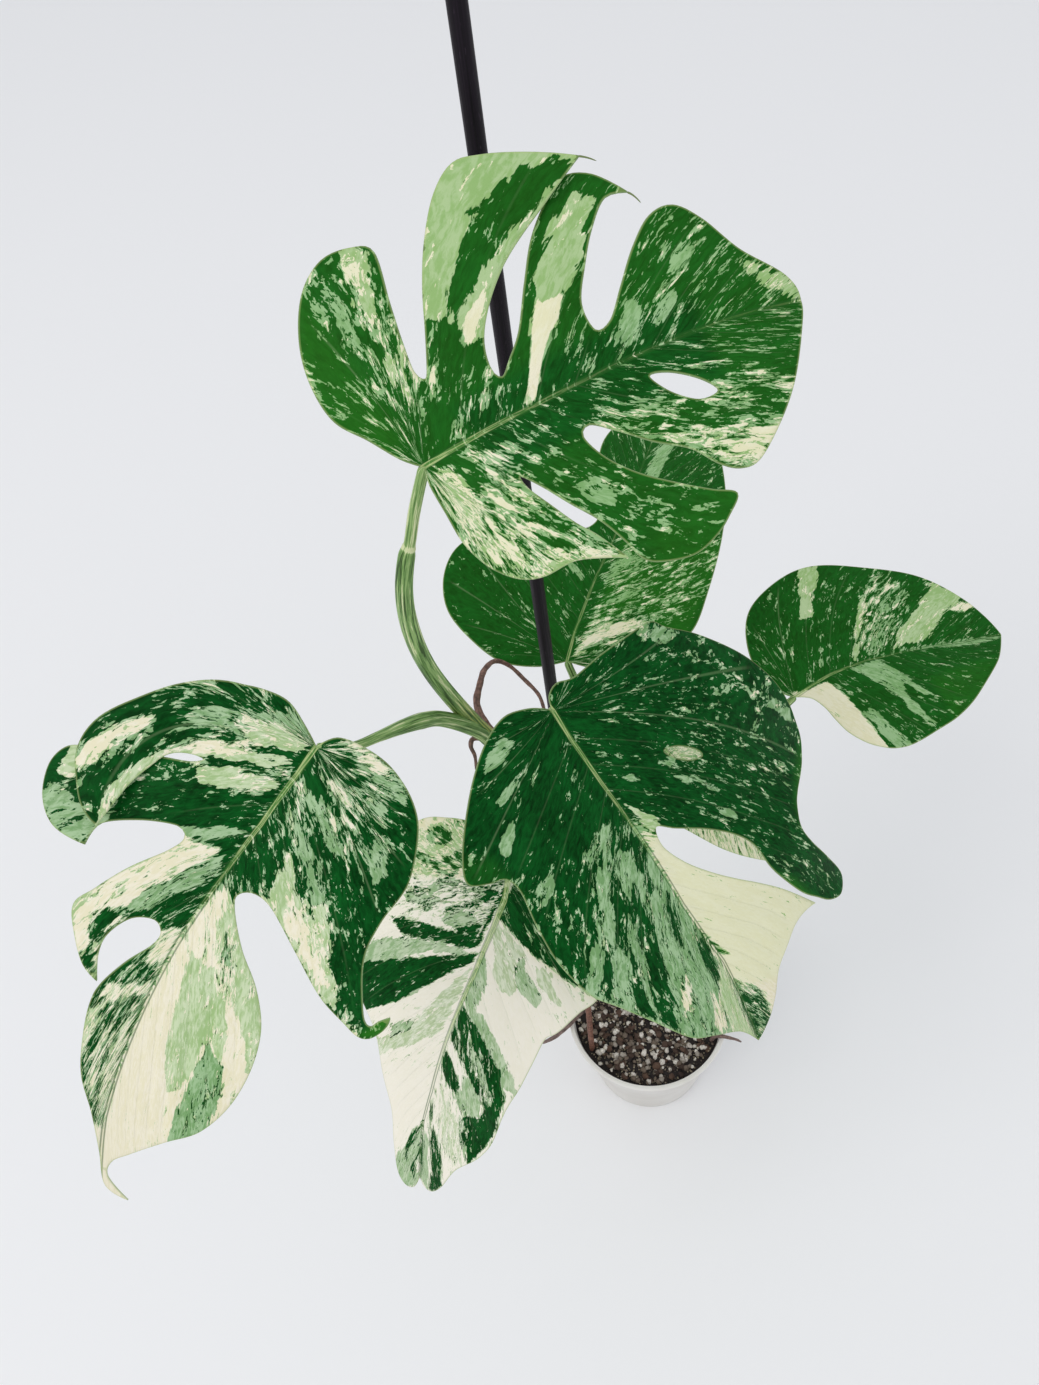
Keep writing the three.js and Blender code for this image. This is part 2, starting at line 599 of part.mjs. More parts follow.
// The mix fills the pot. Its lumps lie on a spiral, each moved and turned a little at random.
function makeMix(holes) {
  const random = seededRandom(7);
  const bottom = POT_FLOOR + SEAT_GAP;
  let mix = lathe([
    [0, bottom], [potInside(bottom) - SEAT_GAP, bottom], [potInside(MIX_LEVEL) - SEAT_GAP, MIX_LEVEL],
    [0, MIX_LEVEL + 1],
  ]);
  const goldenAngle = Math.PI * (3 - Math.sqrt(5));
  const reach = potInside(MIX_LEVEL) - LUMP_CLEAR;
  const stems = [STEM[1], STAKE_AT_MIX, ...Object.values(ROOTS).flat().filter(([, , z]) => z < 130)];
  for (let i = 0; i < LUMPS; i++) {
    const size = THREE.MathUtils.lerp(...LUMP_SIZE, random());
    const away = reach * Math.sqrt((i + 0.5) / LUMPS);
    const angle = i * goldenAngle + 0.5 * random();
    const lump = new THREE.IcosahedronGeometry(size, 0).scale(1, 0.8, 0.6);
    lump.rotateX(random() * 0.7).rotateZ(random() * Math.PI);
    const [x, y] = [away * Math.cos(angle), away * Math.sin(angle)];
    if (stems.some(([sx, sy, , radius]) => Math.hypot(x - sx, y - sy) < radius + size + 2)) continue;
    lump.translate(x, y, MIX_LEVEL + 1 - away / reach);
    mix = mix.add(solidOf(lump));
  }
  return holes.reduce((rest, hole) => rest.subtract(hole), mix);
}

const stakeAt = (t) => STAKE_FOOT.map((foot, k) => THREE.MathUtils.lerp(foot, STAKE_TOP[k], t));
const STAKE_AT_MIX = [...stakeAt((MIX_LEVEL - STAKE_FOOT[2]) / (STAKE_TOP[2] - STAKE_FOOT[2])), STAKE_RADIUS];
const STAKE = [
  [...stakeAt(0), STAKE_RADIUS], [...stakeAt(0.5), STAKE_RADIUS], [...stakeAt(0.997), STAKE_RADIUS],
  [...stakeAt(1), STAKE_RADIUS * 0.5],
];

const stemTube = (grow) => tube(STEM, 10, 26, grow);
const petioleTube = (name, grow) => tube(PETIOLES[name], 8, 14, grow);
const rootTube = (name, grow) => tube(ROOTS[name], 7, 7, grow);
const stakeTube = (grow) => tube(STAKE, 12, 240, grow);

const group = new THREE.Group();
group.name = 'potted_monstera';

// The stem with its petioles is one living piece.
let stem = stemTube(0);
let stemHole = stemTube(SEAT_GAP);
for (const name of Object.keys(PETIOLES)) {
  stem = stem.add(petioleTube(name, 0));
  stemHole = stemHole.add(petioleTube(name, SEAT_GAP));
}
group.add(meshOf('stem_and_petioles', stem, COLOURS.stem, 0.45));

for (const [name, leaf] of Object.entries(LEAVES)) {
  group.add(meshOf(name, blade(leaf).subtract(petioleTube(name, SEAT_GAP)), COLOURS[name], 0.4));
}

// An aerial root grows out of the stem, or out of the mix.
const mixHoles = [stemTube(SEAT_GAP), stakeTube(SEAT_GAP)];
for (const name of Object.keys(ROOTS)) {
  group.add(meshOf(name, rootTube(name, 0).subtract(stemHole), COLOURS.root, 0.7));
  if (ROOTS[name].some(([, , z]) => z < MIX_LEVEL)) mixHoles.push(rootTube(name, SEAT_GAP));
}

group.add(meshOf('stake', stakeTube(0), COLOURS.stake, 0.5));
group.add(meshOf('pot', makePot(), COLOURS.pot, 0.4));
group.add(meshOf('potting_mix', makeMix(mixHoles), COLOURS.mix, 0.95));

export default group;
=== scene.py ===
# %% [markdown]
# # A potted climbing plant with marbled leaves
#
# The plant stands in a round nursery pot and climbs a thin stake. Its leaves are sectors of four
# colours: dark green, grey-green, pale yellow-green and cream. The CAD model gives every piece its
# size and place. This script dresses it: each leaf, stalk and root becomes a fine surface worked
# out with numpy, in the same place, with a finish made of nodes.

import bmesh
import bpy
import numpy as np
from mathutils import Matrix, Vector
from mathutils.geometry import delaunay_2d_cdt


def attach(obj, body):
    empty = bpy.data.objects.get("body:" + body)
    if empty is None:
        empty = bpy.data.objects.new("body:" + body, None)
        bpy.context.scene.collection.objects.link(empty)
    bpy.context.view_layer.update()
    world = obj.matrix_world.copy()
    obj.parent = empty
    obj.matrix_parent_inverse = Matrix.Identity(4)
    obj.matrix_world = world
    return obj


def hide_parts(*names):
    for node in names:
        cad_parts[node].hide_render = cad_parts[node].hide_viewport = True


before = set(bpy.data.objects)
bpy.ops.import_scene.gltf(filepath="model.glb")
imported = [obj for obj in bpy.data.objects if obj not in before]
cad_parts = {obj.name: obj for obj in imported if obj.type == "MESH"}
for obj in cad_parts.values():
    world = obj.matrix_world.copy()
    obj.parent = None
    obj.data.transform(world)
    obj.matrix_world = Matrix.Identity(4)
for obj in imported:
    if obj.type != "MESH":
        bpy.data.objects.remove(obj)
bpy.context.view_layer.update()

MM = 0.001  # the arrays below hold millimetres, and Blender's meshes hold metres

# %% [markdown]
# ## The camera
#
# The photograph was taken from above, close to the leaves, so they spread in strong perspective.
# A camera is a place, three axes and a lens. Stating the axes as vectors keeps the small roll that
# a hand-held picture has, which a look-at helper would lose.

# %% Camera
SENSOR_WIDTH = 36  # millimetres, as is the lens
LENS = 27.03
CAMERA_PLACE = (-0.06356, -0.32230, 1.08009)
RIGHT = (0.98392, -0.14355, -0.10626)
UP = (0.17860, 0.79082, 0.58542)
BACK = (0.0, -0.59498, 0.80374)

camera_data = bpy.data.cameras.new("camera")
camera_data.sensor_width = SENSOR_WIDTH
camera_data.lens = LENS
camera_data.clip_start = 0.01
camera = bpy.data.objects.new("camera", camera_data)
bpy.context.scene.collection.objects.link(camera)
camera.matrix_world = Matrix.Translation(CAMERA_PLACE) @ Matrix((RIGHT, UP, BACK)).transposed().to_4x4()
bpy.context.scene.camera = camera
print("camera at", CAMERA_PLACE, "with a view", round(np.degrees(camera_data.angle), 1), "degrees wide")

# %% [markdown]
# ## The floor
#
# The plant stands on a plain pale surface: one square, so wide that its edge stays out of the
# picture, and so rough that it shows no reflections.

# %% The floor
FLOOR_SIZE = 16
FLOOR_COLOUR = (0.88, 0.88, 0.89, 1)
FLOOR_ROUGHNESS = 0.8


def make_floor():
    """A flat square, FLOOR_SIZE metres wide, centred under the pot."""
    half = FLOOR_SIZE / 2
    corners = [(-half, -half, 0), (half, -half, 0), (half, half, 0), (-half, half, 0)]
    mesh = bpy.data.meshes.new("floor")
    mesh.from_pydata(corners, [], [(0, 1, 2, 3)])
    floor = bpy.data.objects.new("floor", mesh)
    bpy.context.scene.collection.objects.link(floor)
    material = bpy.data.materials.new("floor")
    material.use_nodes = True
    shader = material.node_tree.nodes["Principled BSDF"]
    shader.inputs["Base Color"].default_value = FLOOR_COLOUR
    shader.inputs["Roughness"].default_value = FLOOR_ROUGHNESS
    mesh.materials.append(material)
    print("floor:", FLOOR_SIZE, "m wide")


make_floor()

# %% [markdown]
# ## The light
#
# Soft daylight from the left gives the leaves their sheen and the pot its faint shadow. A lamp of
# two to three metres throws shadows as soft as that, and the world's own light fills in the rest.
# The Standard view keeps deep greens as deep as they are mixed.

# %% The light
WORLD_COLOUR = (0.95, 0.97, 1.0, 1)
WORLD_STRENGTH = 0.78
LAMP_AIM = (0, 0, 0.4)
LAMPS = {
    "key": {"place": (-2.9, -1.4, 4.3), "size": 2.6, "watts": 62, "tone": (1.0, 0.98, 0.95)},
    "fill": {"place": (3.2, -2.2, 3.2), "size": 3.0, "watts": 14, "tone": (0.95, 0.98, 1.0)},
}


def make_lamp(name, place, size, watts, tone):
    """A square soft lamp at place, size metres wide, that shines towards LAMP_AIM."""
    data = bpy.data.lights.new(name, "AREA")
    data.size = size
    data.energy = watts
    data.color = tone
    lamp = bpy.data.objects.new(name, data)
    away = Vector(place) - Vector(LAMP_AIM)
    lamp.matrix_world = Matrix.Translation(place) @ away.to_track_quat("Z", "Y").to_matrix().to_4x4()
    bpy.context.scene.collection.objects.link(lamp)
    print("lamp", name, "is", round(away.length, 1), "m away")


for lamp_name, lamp_values in LAMPS.items():
    make_lamp(lamp_name, **lamp_values)
world = bpy.data.worlds.new("studio")
world.use_nodes = True
world.node_tree.nodes["Background"].inputs["Color"].default_value = WORLD_COLOUR
world.node_tree.nodes["Background"].inputs["Strength"].default_value = WORLD_STRENGTH
bpy.context.scene.world = world
bpy.context.scene.view_settings.view_transform = "Standard"

# %% [markdown]
# ## Making a piece
#
# Every piece is made the same way: an array of points, a list of faces, and the CAD nodes that it
# stands for. Its object stays at the origin, so a pattern that reads the object's own coordinates
# lies still. Values that a material needs at each point, such as how far it is from a patch of
# cream, go into the mesh as attributes, and coordinates that a pattern follows go into UV maps.

# %% Making a piece
def make_piece(name, points, faces, materials, nodes=(), values=None, maps=None, face_material=None):
    """A smooth-shaded mesh from points in millimetres and blocks of faces of equal size.

    values maps an attribute's name to a number at each point, and maps a UV map's name to a pair
    at each point. face_material is the material's number for each face.
    """
    mesh = bpy.data.meshes.new(name)
    mesh.from_pydata((points * MM).tolist(), [], sum((block.tolist() for block in faces), []))
    mesh.shade_smooth()
    for material in materials:
        mesh.materials.append(material)
    if face_material is not None:
        mesh.polygons.foreach_set("material_index", face_material)
    for attribute_name, numbers in (values or {}).items():
        layer = mesh.attributes.new(attribute_name, "FLOAT", "POINT")
        layer.data.foreach_set("value", np.asarray(numbers, np.float32))
    corners = np.empty(len(mesh.loops), np.int32)
    mesh.loops.foreach_get("vertex_index", corners)
    for map_name, pairs in (maps or {}).items():
        layer = mesh.uv_layers.new(name=map_name)
        layer.data.foreach_set("uv", np.asarray(pairs, np.float32)[corners].ravel())
    piece = bpy.data.objects.new(name, mesh)
    bpy.context.scene.collection.objects.link(piece)
    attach(piece, "root")
    if nodes:
        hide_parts(*nodes)
    print(name, len(points), "points,", len(mesh.polygons), "faces")
    return piece

# %% [markdown]
# ## Small helpers for node trees
#
# A finish is a small network. These helpers add a node, set what it needs and hand back its
# output, so that a recipe reads from top to bottom like a sum.

# %% Node helpers
def colour(code):
    """The linear colour of an sRGB code such as '#2f6a35'."""
    parts = np.array([int(code[i:i + 2], 16) for i in (1, 3, 5)]) / 255
    linear = np.where(parts > 0.04045, ((parts + 0.055) / 1.055) ** 2.4, parts / 12.92)
    return (*(float(part) for part in linear), 1)


def add(tree, kind, inputs=None, **settings):
    """Adds a node. A socket in inputs gets a value, or a link if it is given an output."""
    made = tree.nodes.new("ShaderNode" + kind)
    for name, value in settings.items():
        setattr(made, name, value)
    for key, value in (inputs or {}).items():
        if isinstance(value, bpy.types.NodeSocket):
            tree.links.new(value, made.inputs[key])
        else:
            made.inputs[key].default_value = value
    return made


def maths(tree, operation, *values):
    """A sum on numbers, by the name that Blender gives it."""
    return add(tree, "Math", dict(enumerate(values)), operation=operation).outputs[0]


def times(tree, first, second):
    """The product of two numbers."""
    return maths(tree, "MULTIPLY", first, second)


def times_plus(tree, value, factor, more):
    """A number times a factor, plus one more: the way to move a noise into a range."""
    return maths(tree, "MULTIPLY_ADD", value, factor, more)


def scaled(tree, vector, factors):
    """A vector stretched by three factors."""
    return add(tree, "VectorMath", {0: vector, 1: factors}, operation="MULTIPLY").outputs[0]


def noise(tree, vector, scale=1.0, detail=2.0, roughness=0.5):
    """A cloudy number near 0.5 that is 0.3 to 0.7 nearly everywhere."""
    sockets = {"Vector": vector, "Scale": scale, "Detail": detail, "Roughness": roughness}
    return add(tree, "TexNoise", sockets).outputs[0]


def rise(tree, value, low, high):
    """0 below low, 1 above high, and a smooth step between."""
    sockets = {"Value": value, "From Min": low, "From Max": high}
    return add(tree, "MapRange", sockets, interpolation_type="SMOOTHSTEP").outputs[0]


def mix(tree, factor, first, second):
    """first where factor is 0 and second where it is 1, as colours."""
    return add(tree, "Mix", {0: factor, 6: first, 7: second}, data_type="RGBA").outputs[2]


def mix_pair(tree, factor, codes):
    """The same for two colours given by their codes."""
    return mix(tree, factor, *(colour(code) for code in codes))


def mix_values(tree, factor, first, second):
    """The same for numbers."""
    return add(tree, "Mix", {0: factor, 2: first, 3: second}, data_type="FLOAT").outputs[0]


def attribute(tree, name):
    """The number that the mesh holds at each point under a name."""
    return add(tree, "Attribute", attribute_name=name).outputs["Fac"]


def uv(tree, name):
    """The coordinates in one of the mesh's UV maps."""
    return add(tree, "UVMap", uv_map=name).outputs[0]


def bump(tree, height, strength, distance):
    """A normal from a height. distance is how far height 1 stands out, in metres."""
    return add(tree, "Bump", {"Height": height, "Strength": strength, "Distance": distance}).outputs[0]


print("to the renderer, #2f6a35 is", [round(part, 3) for part in colour("#2f6a35")])

# %% [markdown]
# ## Groups and materials
#
# A group of nodes is built once and placed in each material that shares it. Every finish ends in
# the same three links to its shader: its colour, its roughness and its normal.

# %% Groups and materials
def new_group(name, outputs):
    """An empty shader group with outputs (name, kind): its tree and the sockets to link to."""
    tree = bpy.data.node_groups.new(name, "ShaderNodeTree")
    for socket, kind in outputs:
        tree.interface.new_socket(socket, in_out="OUTPUT", socket_type="NodeSocket" + kind)
    return tree, tree.nodes.new("NodeGroupOutput").inputs


def new_material(name):
    """A material with its Principled shader, ready to be fed."""
    material = bpy.data.materials.new(name)
    material.use_nodes = True
    return material, material.node_tree, material.node_tree.nodes["Principled BSDF"]


def feed(tree, shader, painted, roughness, normal):
    """Links a finish's colour, roughness and normal to its shader."""
    for socket, value in (("Base Color", painted), ("Roughness", roughness), ("Normal", normal)):
        tree.links.new(value, shader.inputs[socket])
    print("a finish of", len(tree.nodes), "nodes")


print("materials so far:", len(bpy.data.materials))

# %% [markdown]
# ## The leaves: flat outlines and how each is held
#
# A leaf starts life flat in the bud and is then bent: it folds at the midrib, arches to both sides,
# droops along its length and waves at the margin. So each leaf is drawn flat, with x along the
# midrib and y to its left in millimetres, and one formula bends it. The numbers are the same as in
# the CAD model, which keeps the fine leaf where the plain one is.
#
# An outline starts where the stalk joins and runs up the left side to the tip and back down the
# right. A third number marks a sharp corner. base is the joint; heading, rise and roll turn the
# midrib's first stretch. droop and sweep bend the midrib, fold and curl the two halves. wave is the
# height, length and phase of the margin's waves. A lobe that lies over its neighbour is lifted and
# swung. Angles are in degrees, and curl is for each 100 mm.

# %% The leaves
CORNER = 1
LEAVES = {
  "top_leaf": {
    "base": [-82.4, -37.7, 836.6], "heading": 17, "rise": 19.3, "roll": 34, "length": 146.5,
    "droop": 14, "sweep": -22, "fold": [10, 8], "curl": [14, 20], "wave": [1, 70, 0],
    "outline": [
      [0,0, CORNER], [-5,7], [-10,19], [-15,31], [-14,45], [-9,59], [0,72], [10,78], [19,76],
      [24,70], [20,52], [17,39], [15,28], [17,24],
      [20,28], [25,38], [30,50], [36,63], [43,75], [50,81], [58,80], [69,77], [78,74],
      [85,71, CORNER], [72,59], [54,44], [41,28], [37,16], [39,11],
      [44,15], [51,22], [59,35], [67,48], [76,58], [83,63], [91,60], [99,50, CORNER],
      [92,51], [85,43], [79,33], [73,21], [74,11],
      [80,12], [87,21], [95,32], [103,40], [111,41], [119,34], [129,21], [143,9],
      [147,0], [144,-11], [136,-28], [126,-41], [114,-51], [105,-52], [97,-48], [89,-40],
      [77,-33], [66,-24], [58,-18],
      [54,-21], [58,-31], [67,-41], [80,-50], [91,-56], [100,-60], [94,-66], [86,-71], [75,-74],
      [62,-72], [54,-68], [50,-59], [45,-49], [38,-39], [32,-29], [27,-22],
      [27,-27], [31,-36], [36,-46], [41,-53], [48,-65, CORNER],
      [39,-61], [28,-57], [15,-56], [6,-52], [-1,-43], [-4,-31], [-3,-18], [-2,-7],
    ],
    "holes": [[[85,-11], [92,-12], [102,-18], [107,-24], [99,-25], [90,-19]]],
    "lobes": [{
      "root": [28,22], "tip": [80,78], "lift": 5, "swing": -10,
      "region": [
        [16,22], [21,40], [26,55], [33,72], [36,100], [115,95], [88,71], [76,61], [66,51.5],
        [55,41], [46,27], [38,13],
      ],
    }],
  },

  "middle_leaf": {
    "base": [-49.9, -45.7, 687.7], "heading": -48.2, "rise": -40.8, "roll": 0, "length": 226.5,
    "droop": 25, "sweep": -7, "fold": [6, 6], "curl": [20, 30], "wave": [2, 90, 40],
    "outline": [
      [0,0, CORNER], [-6,3], [-8,10], [-4,19], [-2,37], [2,58], [6,74], [14,80], [28,93],
      [48,106], [66,113.5], [89,121], [104,125], [117,124], [124,112], [129,92], [134,84],
      [143,80], [156,84], [173,94], [188,103], [195,103], [199,96], [195,85], [187,76],
      [177,66.5], [161,57], [145,50], [126,46], [113,39], [99,27], [86,13], [78,5],
      [88,2], [103,7], [118,16], [132,26.5], [147,39], [165,53], [192,71, CORNER],
      [188,61], [187,50], [191,39], [198,27], [211,19], [221,11],
      [229,0, CORNER], [211,-9], [196,-25], [183,-38], [158,-51], [136,-62], [117,-71], [94,-74],
      [72,-71], [52,-67], [41,-69], [36,-77], [29,-84], [19,-79], [7,-67], [-5,-51], [-13,-35],
      [-15,-21], [-10,-10], [-4,-3],
    ],
    "holes": [[[53,32], [57,40], [66,48], [71,49], [67,41], [59,34]]],
    "lobes": [{
      "root": [126,62], "tip": [207,95], "lift": 6, "swing": -10,
      "region": [
        [100,28], [126,45], [145,48.5], [161,54.8], [177,63], [190,73], [200,82], [215,90],
        [215,135], [95,135],
      ],
    }],
  },

  "left_leaf": {
    "base": [-152.4, -66.4, 722.1], "heading": -147, "rise": -18, "roll": -32, "length": 228,
    "droop": 25, "sweep": 30, "fold": [6, 6], "curl": [20, 20], "wave": [2, 85, 10],
    "outline": [
      [0,0, CORNER], [-9,4], [-14,15], [-16,29], [-12,45], [-2,57], [20,68], [43,69], [62,72],
      [85,82], [97,88], [99,92], [93,94], [87,97, CORNER], [93,98], [101,97], [107,94], [108,89],
      [103,80], [95,66], [80,47], [68,29], [66,19], [70,13],
      [76,14], [91,26], [105,40], [123,50], [146,53], [172,50], [191,41], [203,27], [217,12],
      [225,4], [235,3], [248,13, CORNER], [241,2], [220,-2], [199,-8], [180,-16], [161,-20],
      [146,-22], [136,-21], [122,-15], [110,-8], [103,-7],
      [99,-12], [103,-21], [114,-27], [124,-27], [135,-23, CORNER], [131,-31], [121,-39],
      [109,-45], [99,-40], [85,-32], [71,-22], [63,-19],
      [60,-24], [67,-36], [79,-46], [89,-44, CORNER], [95,-57], [94,-69], [87,-78], [78,-80],
      [70,-76], [60,-67], [50,-56], [43,-46], [37,-36], [33,-32],
      [33,-36], [36,-46], [42,-54], [47,-63], [52,-74], [54,-84, CORNER], [44,-83], [34,-80],
      [25,-77], [19,-71], [15,-60], [9,-51], [3,-43], [-3,-32], [-6,-21], [-3,-8],
    ],
    "holes": [],
    "lobes": [{
      "root": [32,-31], "tip": [50,-95], "lift": 12, "swing": 100,
      "region": [[33,-32], [40,-46], [51,-63], [62,-80], [62,-110], [-40,-110], [-40,-20]],
    }, {
      "root": [46,-26], "tip": [80,-85], "lift": -8, "swing": -30,
      "region": [
        [33,-32], [40,-46], [51,-63], [62,-80], [62,-110], [130,-110], [130,-70], [103,-52],
        [90,-42], [76,-36], [63,-20], [40,-20],
      ],
    }],
  },

  "low_leaf": {
    "base": [-91.3, -32.7, 498.2], "heading": -142, "rise": -34.7, "roll": 0, "length": 232.5,
    "droop": 25, "sweep": 20, "fold": [6, 6], "curl": [15, 15], "wave": [3, 95, 60],
    "outline": [
      [0,0, CORNER], [-7,2], [-15,12], [-18,31], [-10,50], [5,71], [22,85], [37,81.5], [50,78],
      [60,74], [68,69], [78,67], [97,65.5], [112,64.5], [126,62], [162,55], [183,46], [201,31],
      [222,20], [233,11], [233,4],
      [227,0, CORNER], [238,-5], [239,-12], [230,-18], [208,-21], [182,-24], [158,-37], [140,-48],
      [121,-65], [99,-82], [70,-92], [38,-90], [6,-75], [-7,-58], [-15,-39], [-13,-19], [-5,-5],
    ],
    "holes": [],
    "lobes": [],
  },

  "back_leaf": {
    "base": [-31.3, 69.6, 573.9], "heading": 61, "rise": 7.7, "roll": 12, "length": 249,
    "droop": 15, "sweep": 0, "fold": [8, 8], "curl": [12, 12], "wave": [1.5, 110, 30],
    "outline": [
      [0,0, CORNER], [-11,16], [-16,38], [-8,61], [6,81], [27,92], [48,92], [64,80], [78,55],
      [92,29], [102,17], [116,15], [138,23], [162,30], [188,31], [220,21], [249,0, CORNER],
      [235,-27], [206,-46], [168,-60], [122,-67], [79,-69], [46,-67], [22,-54], [6,-35], [0,-16],
    ],
    "holes": [],
    "lobes": [],
  },

  "right_leaf": {
    "base": [115.8, 59.6, 504.3], "heading": 23.7, "rise": 1.6, "roll": 8, "length": 161,
    "droop": 10, "sweep": -27, "fold": [8, 8], "curl": [12, 12], "wave": [1.5, 80, 0],
    "outline": [
      [0,0, CORNER], [-6,8], [-9,24], [-4,44], [9,65], [25,76], [48,81], [71,76], [96,65],
      [120,49], [141,30], [153,14], [161,0, CORNER], [149,-22], [121,-46], [96,-59], [72,-64],
      [47,-67], [32,-65], [22,-59], [15,-51], [10.5,-40], [10,-28], [10.5,-18], [8,-7],
    ],
    "holes": [],
    "lobes": [],
  },

  "hidden_leaf": {
    "base": [17.5, 51.8, 498.5], "heading": -40, "rise": -38, "roll": 0, "length": 130,
    "droop": 15, "sweep": 0, "fold": [8, 8], "curl": [12, 12], "wave": [1, 60, 0],
    "outline": [
      [0,0, CORNER], [-6,9], [-2,21], [11,32], [32,39], [58,40], [84,36], [108,22],
      [130,0, CORNER], [107,-14], [84,-25], [59,-33], [33,-39], [11,-35], [-3,-22], [-6,-9],
    ],
    "holes": [],
    "lobes": [],
  },
}

drawn_points = sum(len(leaf["outline"]) for leaf in LEAVES.values())
print(len(LEAVES), "leaves, drawn with", drawn_points, "points")

# %% [markdown]
# ## Midribs and side veins
#
# The midrib of a real blade is not straight, and its side veins leave it steeply and then bend
# towards the tip. The marbling follows both, so they are kept as a few numbers for each leaf.

# %% Midribs and side veins
# Points on the flat blade that the midrib runs through.
MIDRIBS = {
  "top_leaf": [[0,0], [20,-1.5], [45,-3], [65,-3], [90,-2], [120,-0.5], [147,0]],
  "middle_leaf": [[0,0], [15,-2.5], [40,-4.5], [80,-5.5], [120,-6], [145,-4], [165,-1], [229,0]],
  "left_leaf": [[0,0], [15,2], [40,3.5], [70,3], [105,1], [150,-0.5], [200,-2], [248,0]],
  "low_leaf": [[0,0], [10,4.5], [30,7.5], [60,9], [90,8], [120,6], [155,4], [180,1], [233,0]],
  "back_leaf": [[0,0], [20,2], [60,2], [100,0], [249,0]],
  "right_leaf": [[0,0], [30,1.5], [60,0], [75,-2], [100,-3.5], [130,-4.5], [161,0]],
  "hidden_leaf": [[0,0], [130,0]],
}

# How the side veins run on the left and on the right half: [steepness, length]. A vein leaves the
# stalk's end with this steepness, and the steepness falls off along the blade over the length.
VEINS = {
  "top_leaf": [[1.9, 115], [2.7, 57]],
  "middle_leaf": [[1.3, 190], [3.3, 62]],
  "left_leaf": [[2.0, 75], [2.4, 60]],
  "low_leaf": [[2.6, 75], [1.6, 130]],
  "back_leaf": [[1.8, 150], [1.7, 150]],
  "right_leaf": [[2.4, 100], [4.0, 55]],
  "hidden_leaf": [[1.8, 100], [1.8, 100]],
}

# How far the midrib reaches to either side where the stalk joins, in millimetres.
RIB_WIDTHS = {
  "top_leaf": 0.7, "middle_leaf": 0.85, "left_leaf": 0.85, "low_leaf": 1.9, "back_leaf": 0.6,
  "right_leaf": 0.7, "hidden_leaf": 0.7,
}

print("the low leaf's midrib runs", max(y for x, y in MIDRIBS["low_leaf"]), "mm off centre")

# %% [markdown]
# ## Inside an outline, and how far from it
#
# Two questions come up again and again: is a point inside an outline, and how far is it from the
# nearest edge? Both are answered for all points at once.

# %% Inside and distance
def inside(points, outline):
    """Which points lie inside a closed outline: those from which a level line crosses it an odd
    number of times."""
    x, y = points[:, :1], points[:, 1:2]
    start = np.array([corner[:2] for corner in outline], float)
    end = np.roll(start, -1, axis=0)
    crosses = (start[:, 1] > y) != (end[:, 1] > y)
    run = (end[:, 0] - start[:, 0]) / np.where(end[:, 1] == start[:, 1], 1e-9, end[:, 1] - start[:, 1])
    return np.sum(crosses & (x < start[:, 0] + (y - start[:, 1]) * run), axis=1) % 2 == 1


def distance(points, outline):
    """How far each point is from a closed outline: the least distance to any of its edges."""
    start = np.array([corner[:2] for corner in outline], float)
    edge = np.roll(start, -1, axis=0) - start
    nearest = np.full(len(points), np.inf)
    for (ax, ay), (dx, dy) in zip(start, edge):
        px, py = points[:, 0] - ax, points[:, 1] - ay
        t = np.clip((px * dx + py * dy) / (dx * dx + dy * dy), 0, 1)
        nearest = np.minimum(nearest, np.hypot(px - t * dx, py - t * dy))
    return nearest


hole = LEAVES["top_leaf"]["holes"][0]
print("the top leaf's hole is", 2 * distance(np.array([[94, -18]]), hole).round(1)[0], "mm wide")

# %% [markdown]
# ## Bending a flat leaf
#
# The midrib is a curve that turns by a steady rate both ways, which has a closed formula: half the
# sum of two circular arcs. Across it, each half of the blade is an arc too. Whole arrays go in and
# come out, so a leaf of ten thousand points bends at once. Lobes that overlap in the real leaf are
# first swung sideways, each along an arc of its own, and lifted over their neighbour.

# %% Bending a flat leaf
def pose_lobes(leaf, flat):
    """Flat points with the overlapping lobes swung sideways along an arc, and their lift."""
    posed, lift = flat.copy(), np.zeros(len(flat))
    for lobe in leaf["lobes"]:
        root, tip = np.array(lobe["root"], float), np.array(lobe["tip"], float)
        length = np.hypot(*(tip - root))
        axis = (tip - root) / length
        side = np.array([-axis[1], axis[0]])
        along, across = (flat - root) @ axis, (flat - root) @ side
        rate = np.radians(lobe["swing"]) / length
        turn = rate * along
        new_along = np.sin(turn) / rate - across * np.sin(turn)
        new_across = (1 - np.cos(turn)) / rate + across * np.cos(turn)
        moved = (along > 0) & inside(flat, lobe["region"])
        posed[moved] = (root + np.outer(new_along, axis) + np.outer(new_across, side))[moved]
        lift[moved] = (lobe["lift"] * (along / length) ** 2)[moved]
    return posed, lift


def ahead(rate, s):
    """How far ahead a curve of length 1 has got at s, if it turns by rate over its whole length."""
    return np.sin(rate * s) / rate if abs(rate) > 1e-6 else s


def aside(rate, s):
    """How far aside the same curve has got."""
    return (1 - np.cos(rate * s)) / rate if abs(rate) > 1e-6 else 0 * s


def midrib(leaf, s):
    """The midrib at each share s of its length: the place, and the directions along and across."""
    droop, sweep = np.radians([leaf["droop"], leaf["sweep"]])
    both, split = sweep + droop, sweep - droop
    place = leaf["length"] * np.stack(
        [(ahead(both, s) + ahead(split, s)) / 2, (aside(both, s) + aside(split, s)) / 2, -aside(droop, s)],
        axis=1)
    turn, drop = sweep * s, droop * s
    along = np.stack([np.cos(turn) * np.cos(drop), np.sin(turn) * np.cos(drop), -np.sin(drop)], axis=1)
    across = np.stack([-np.sin(turn), np.cos(turn), 0 * turn], axis=1)
    return place, along, across


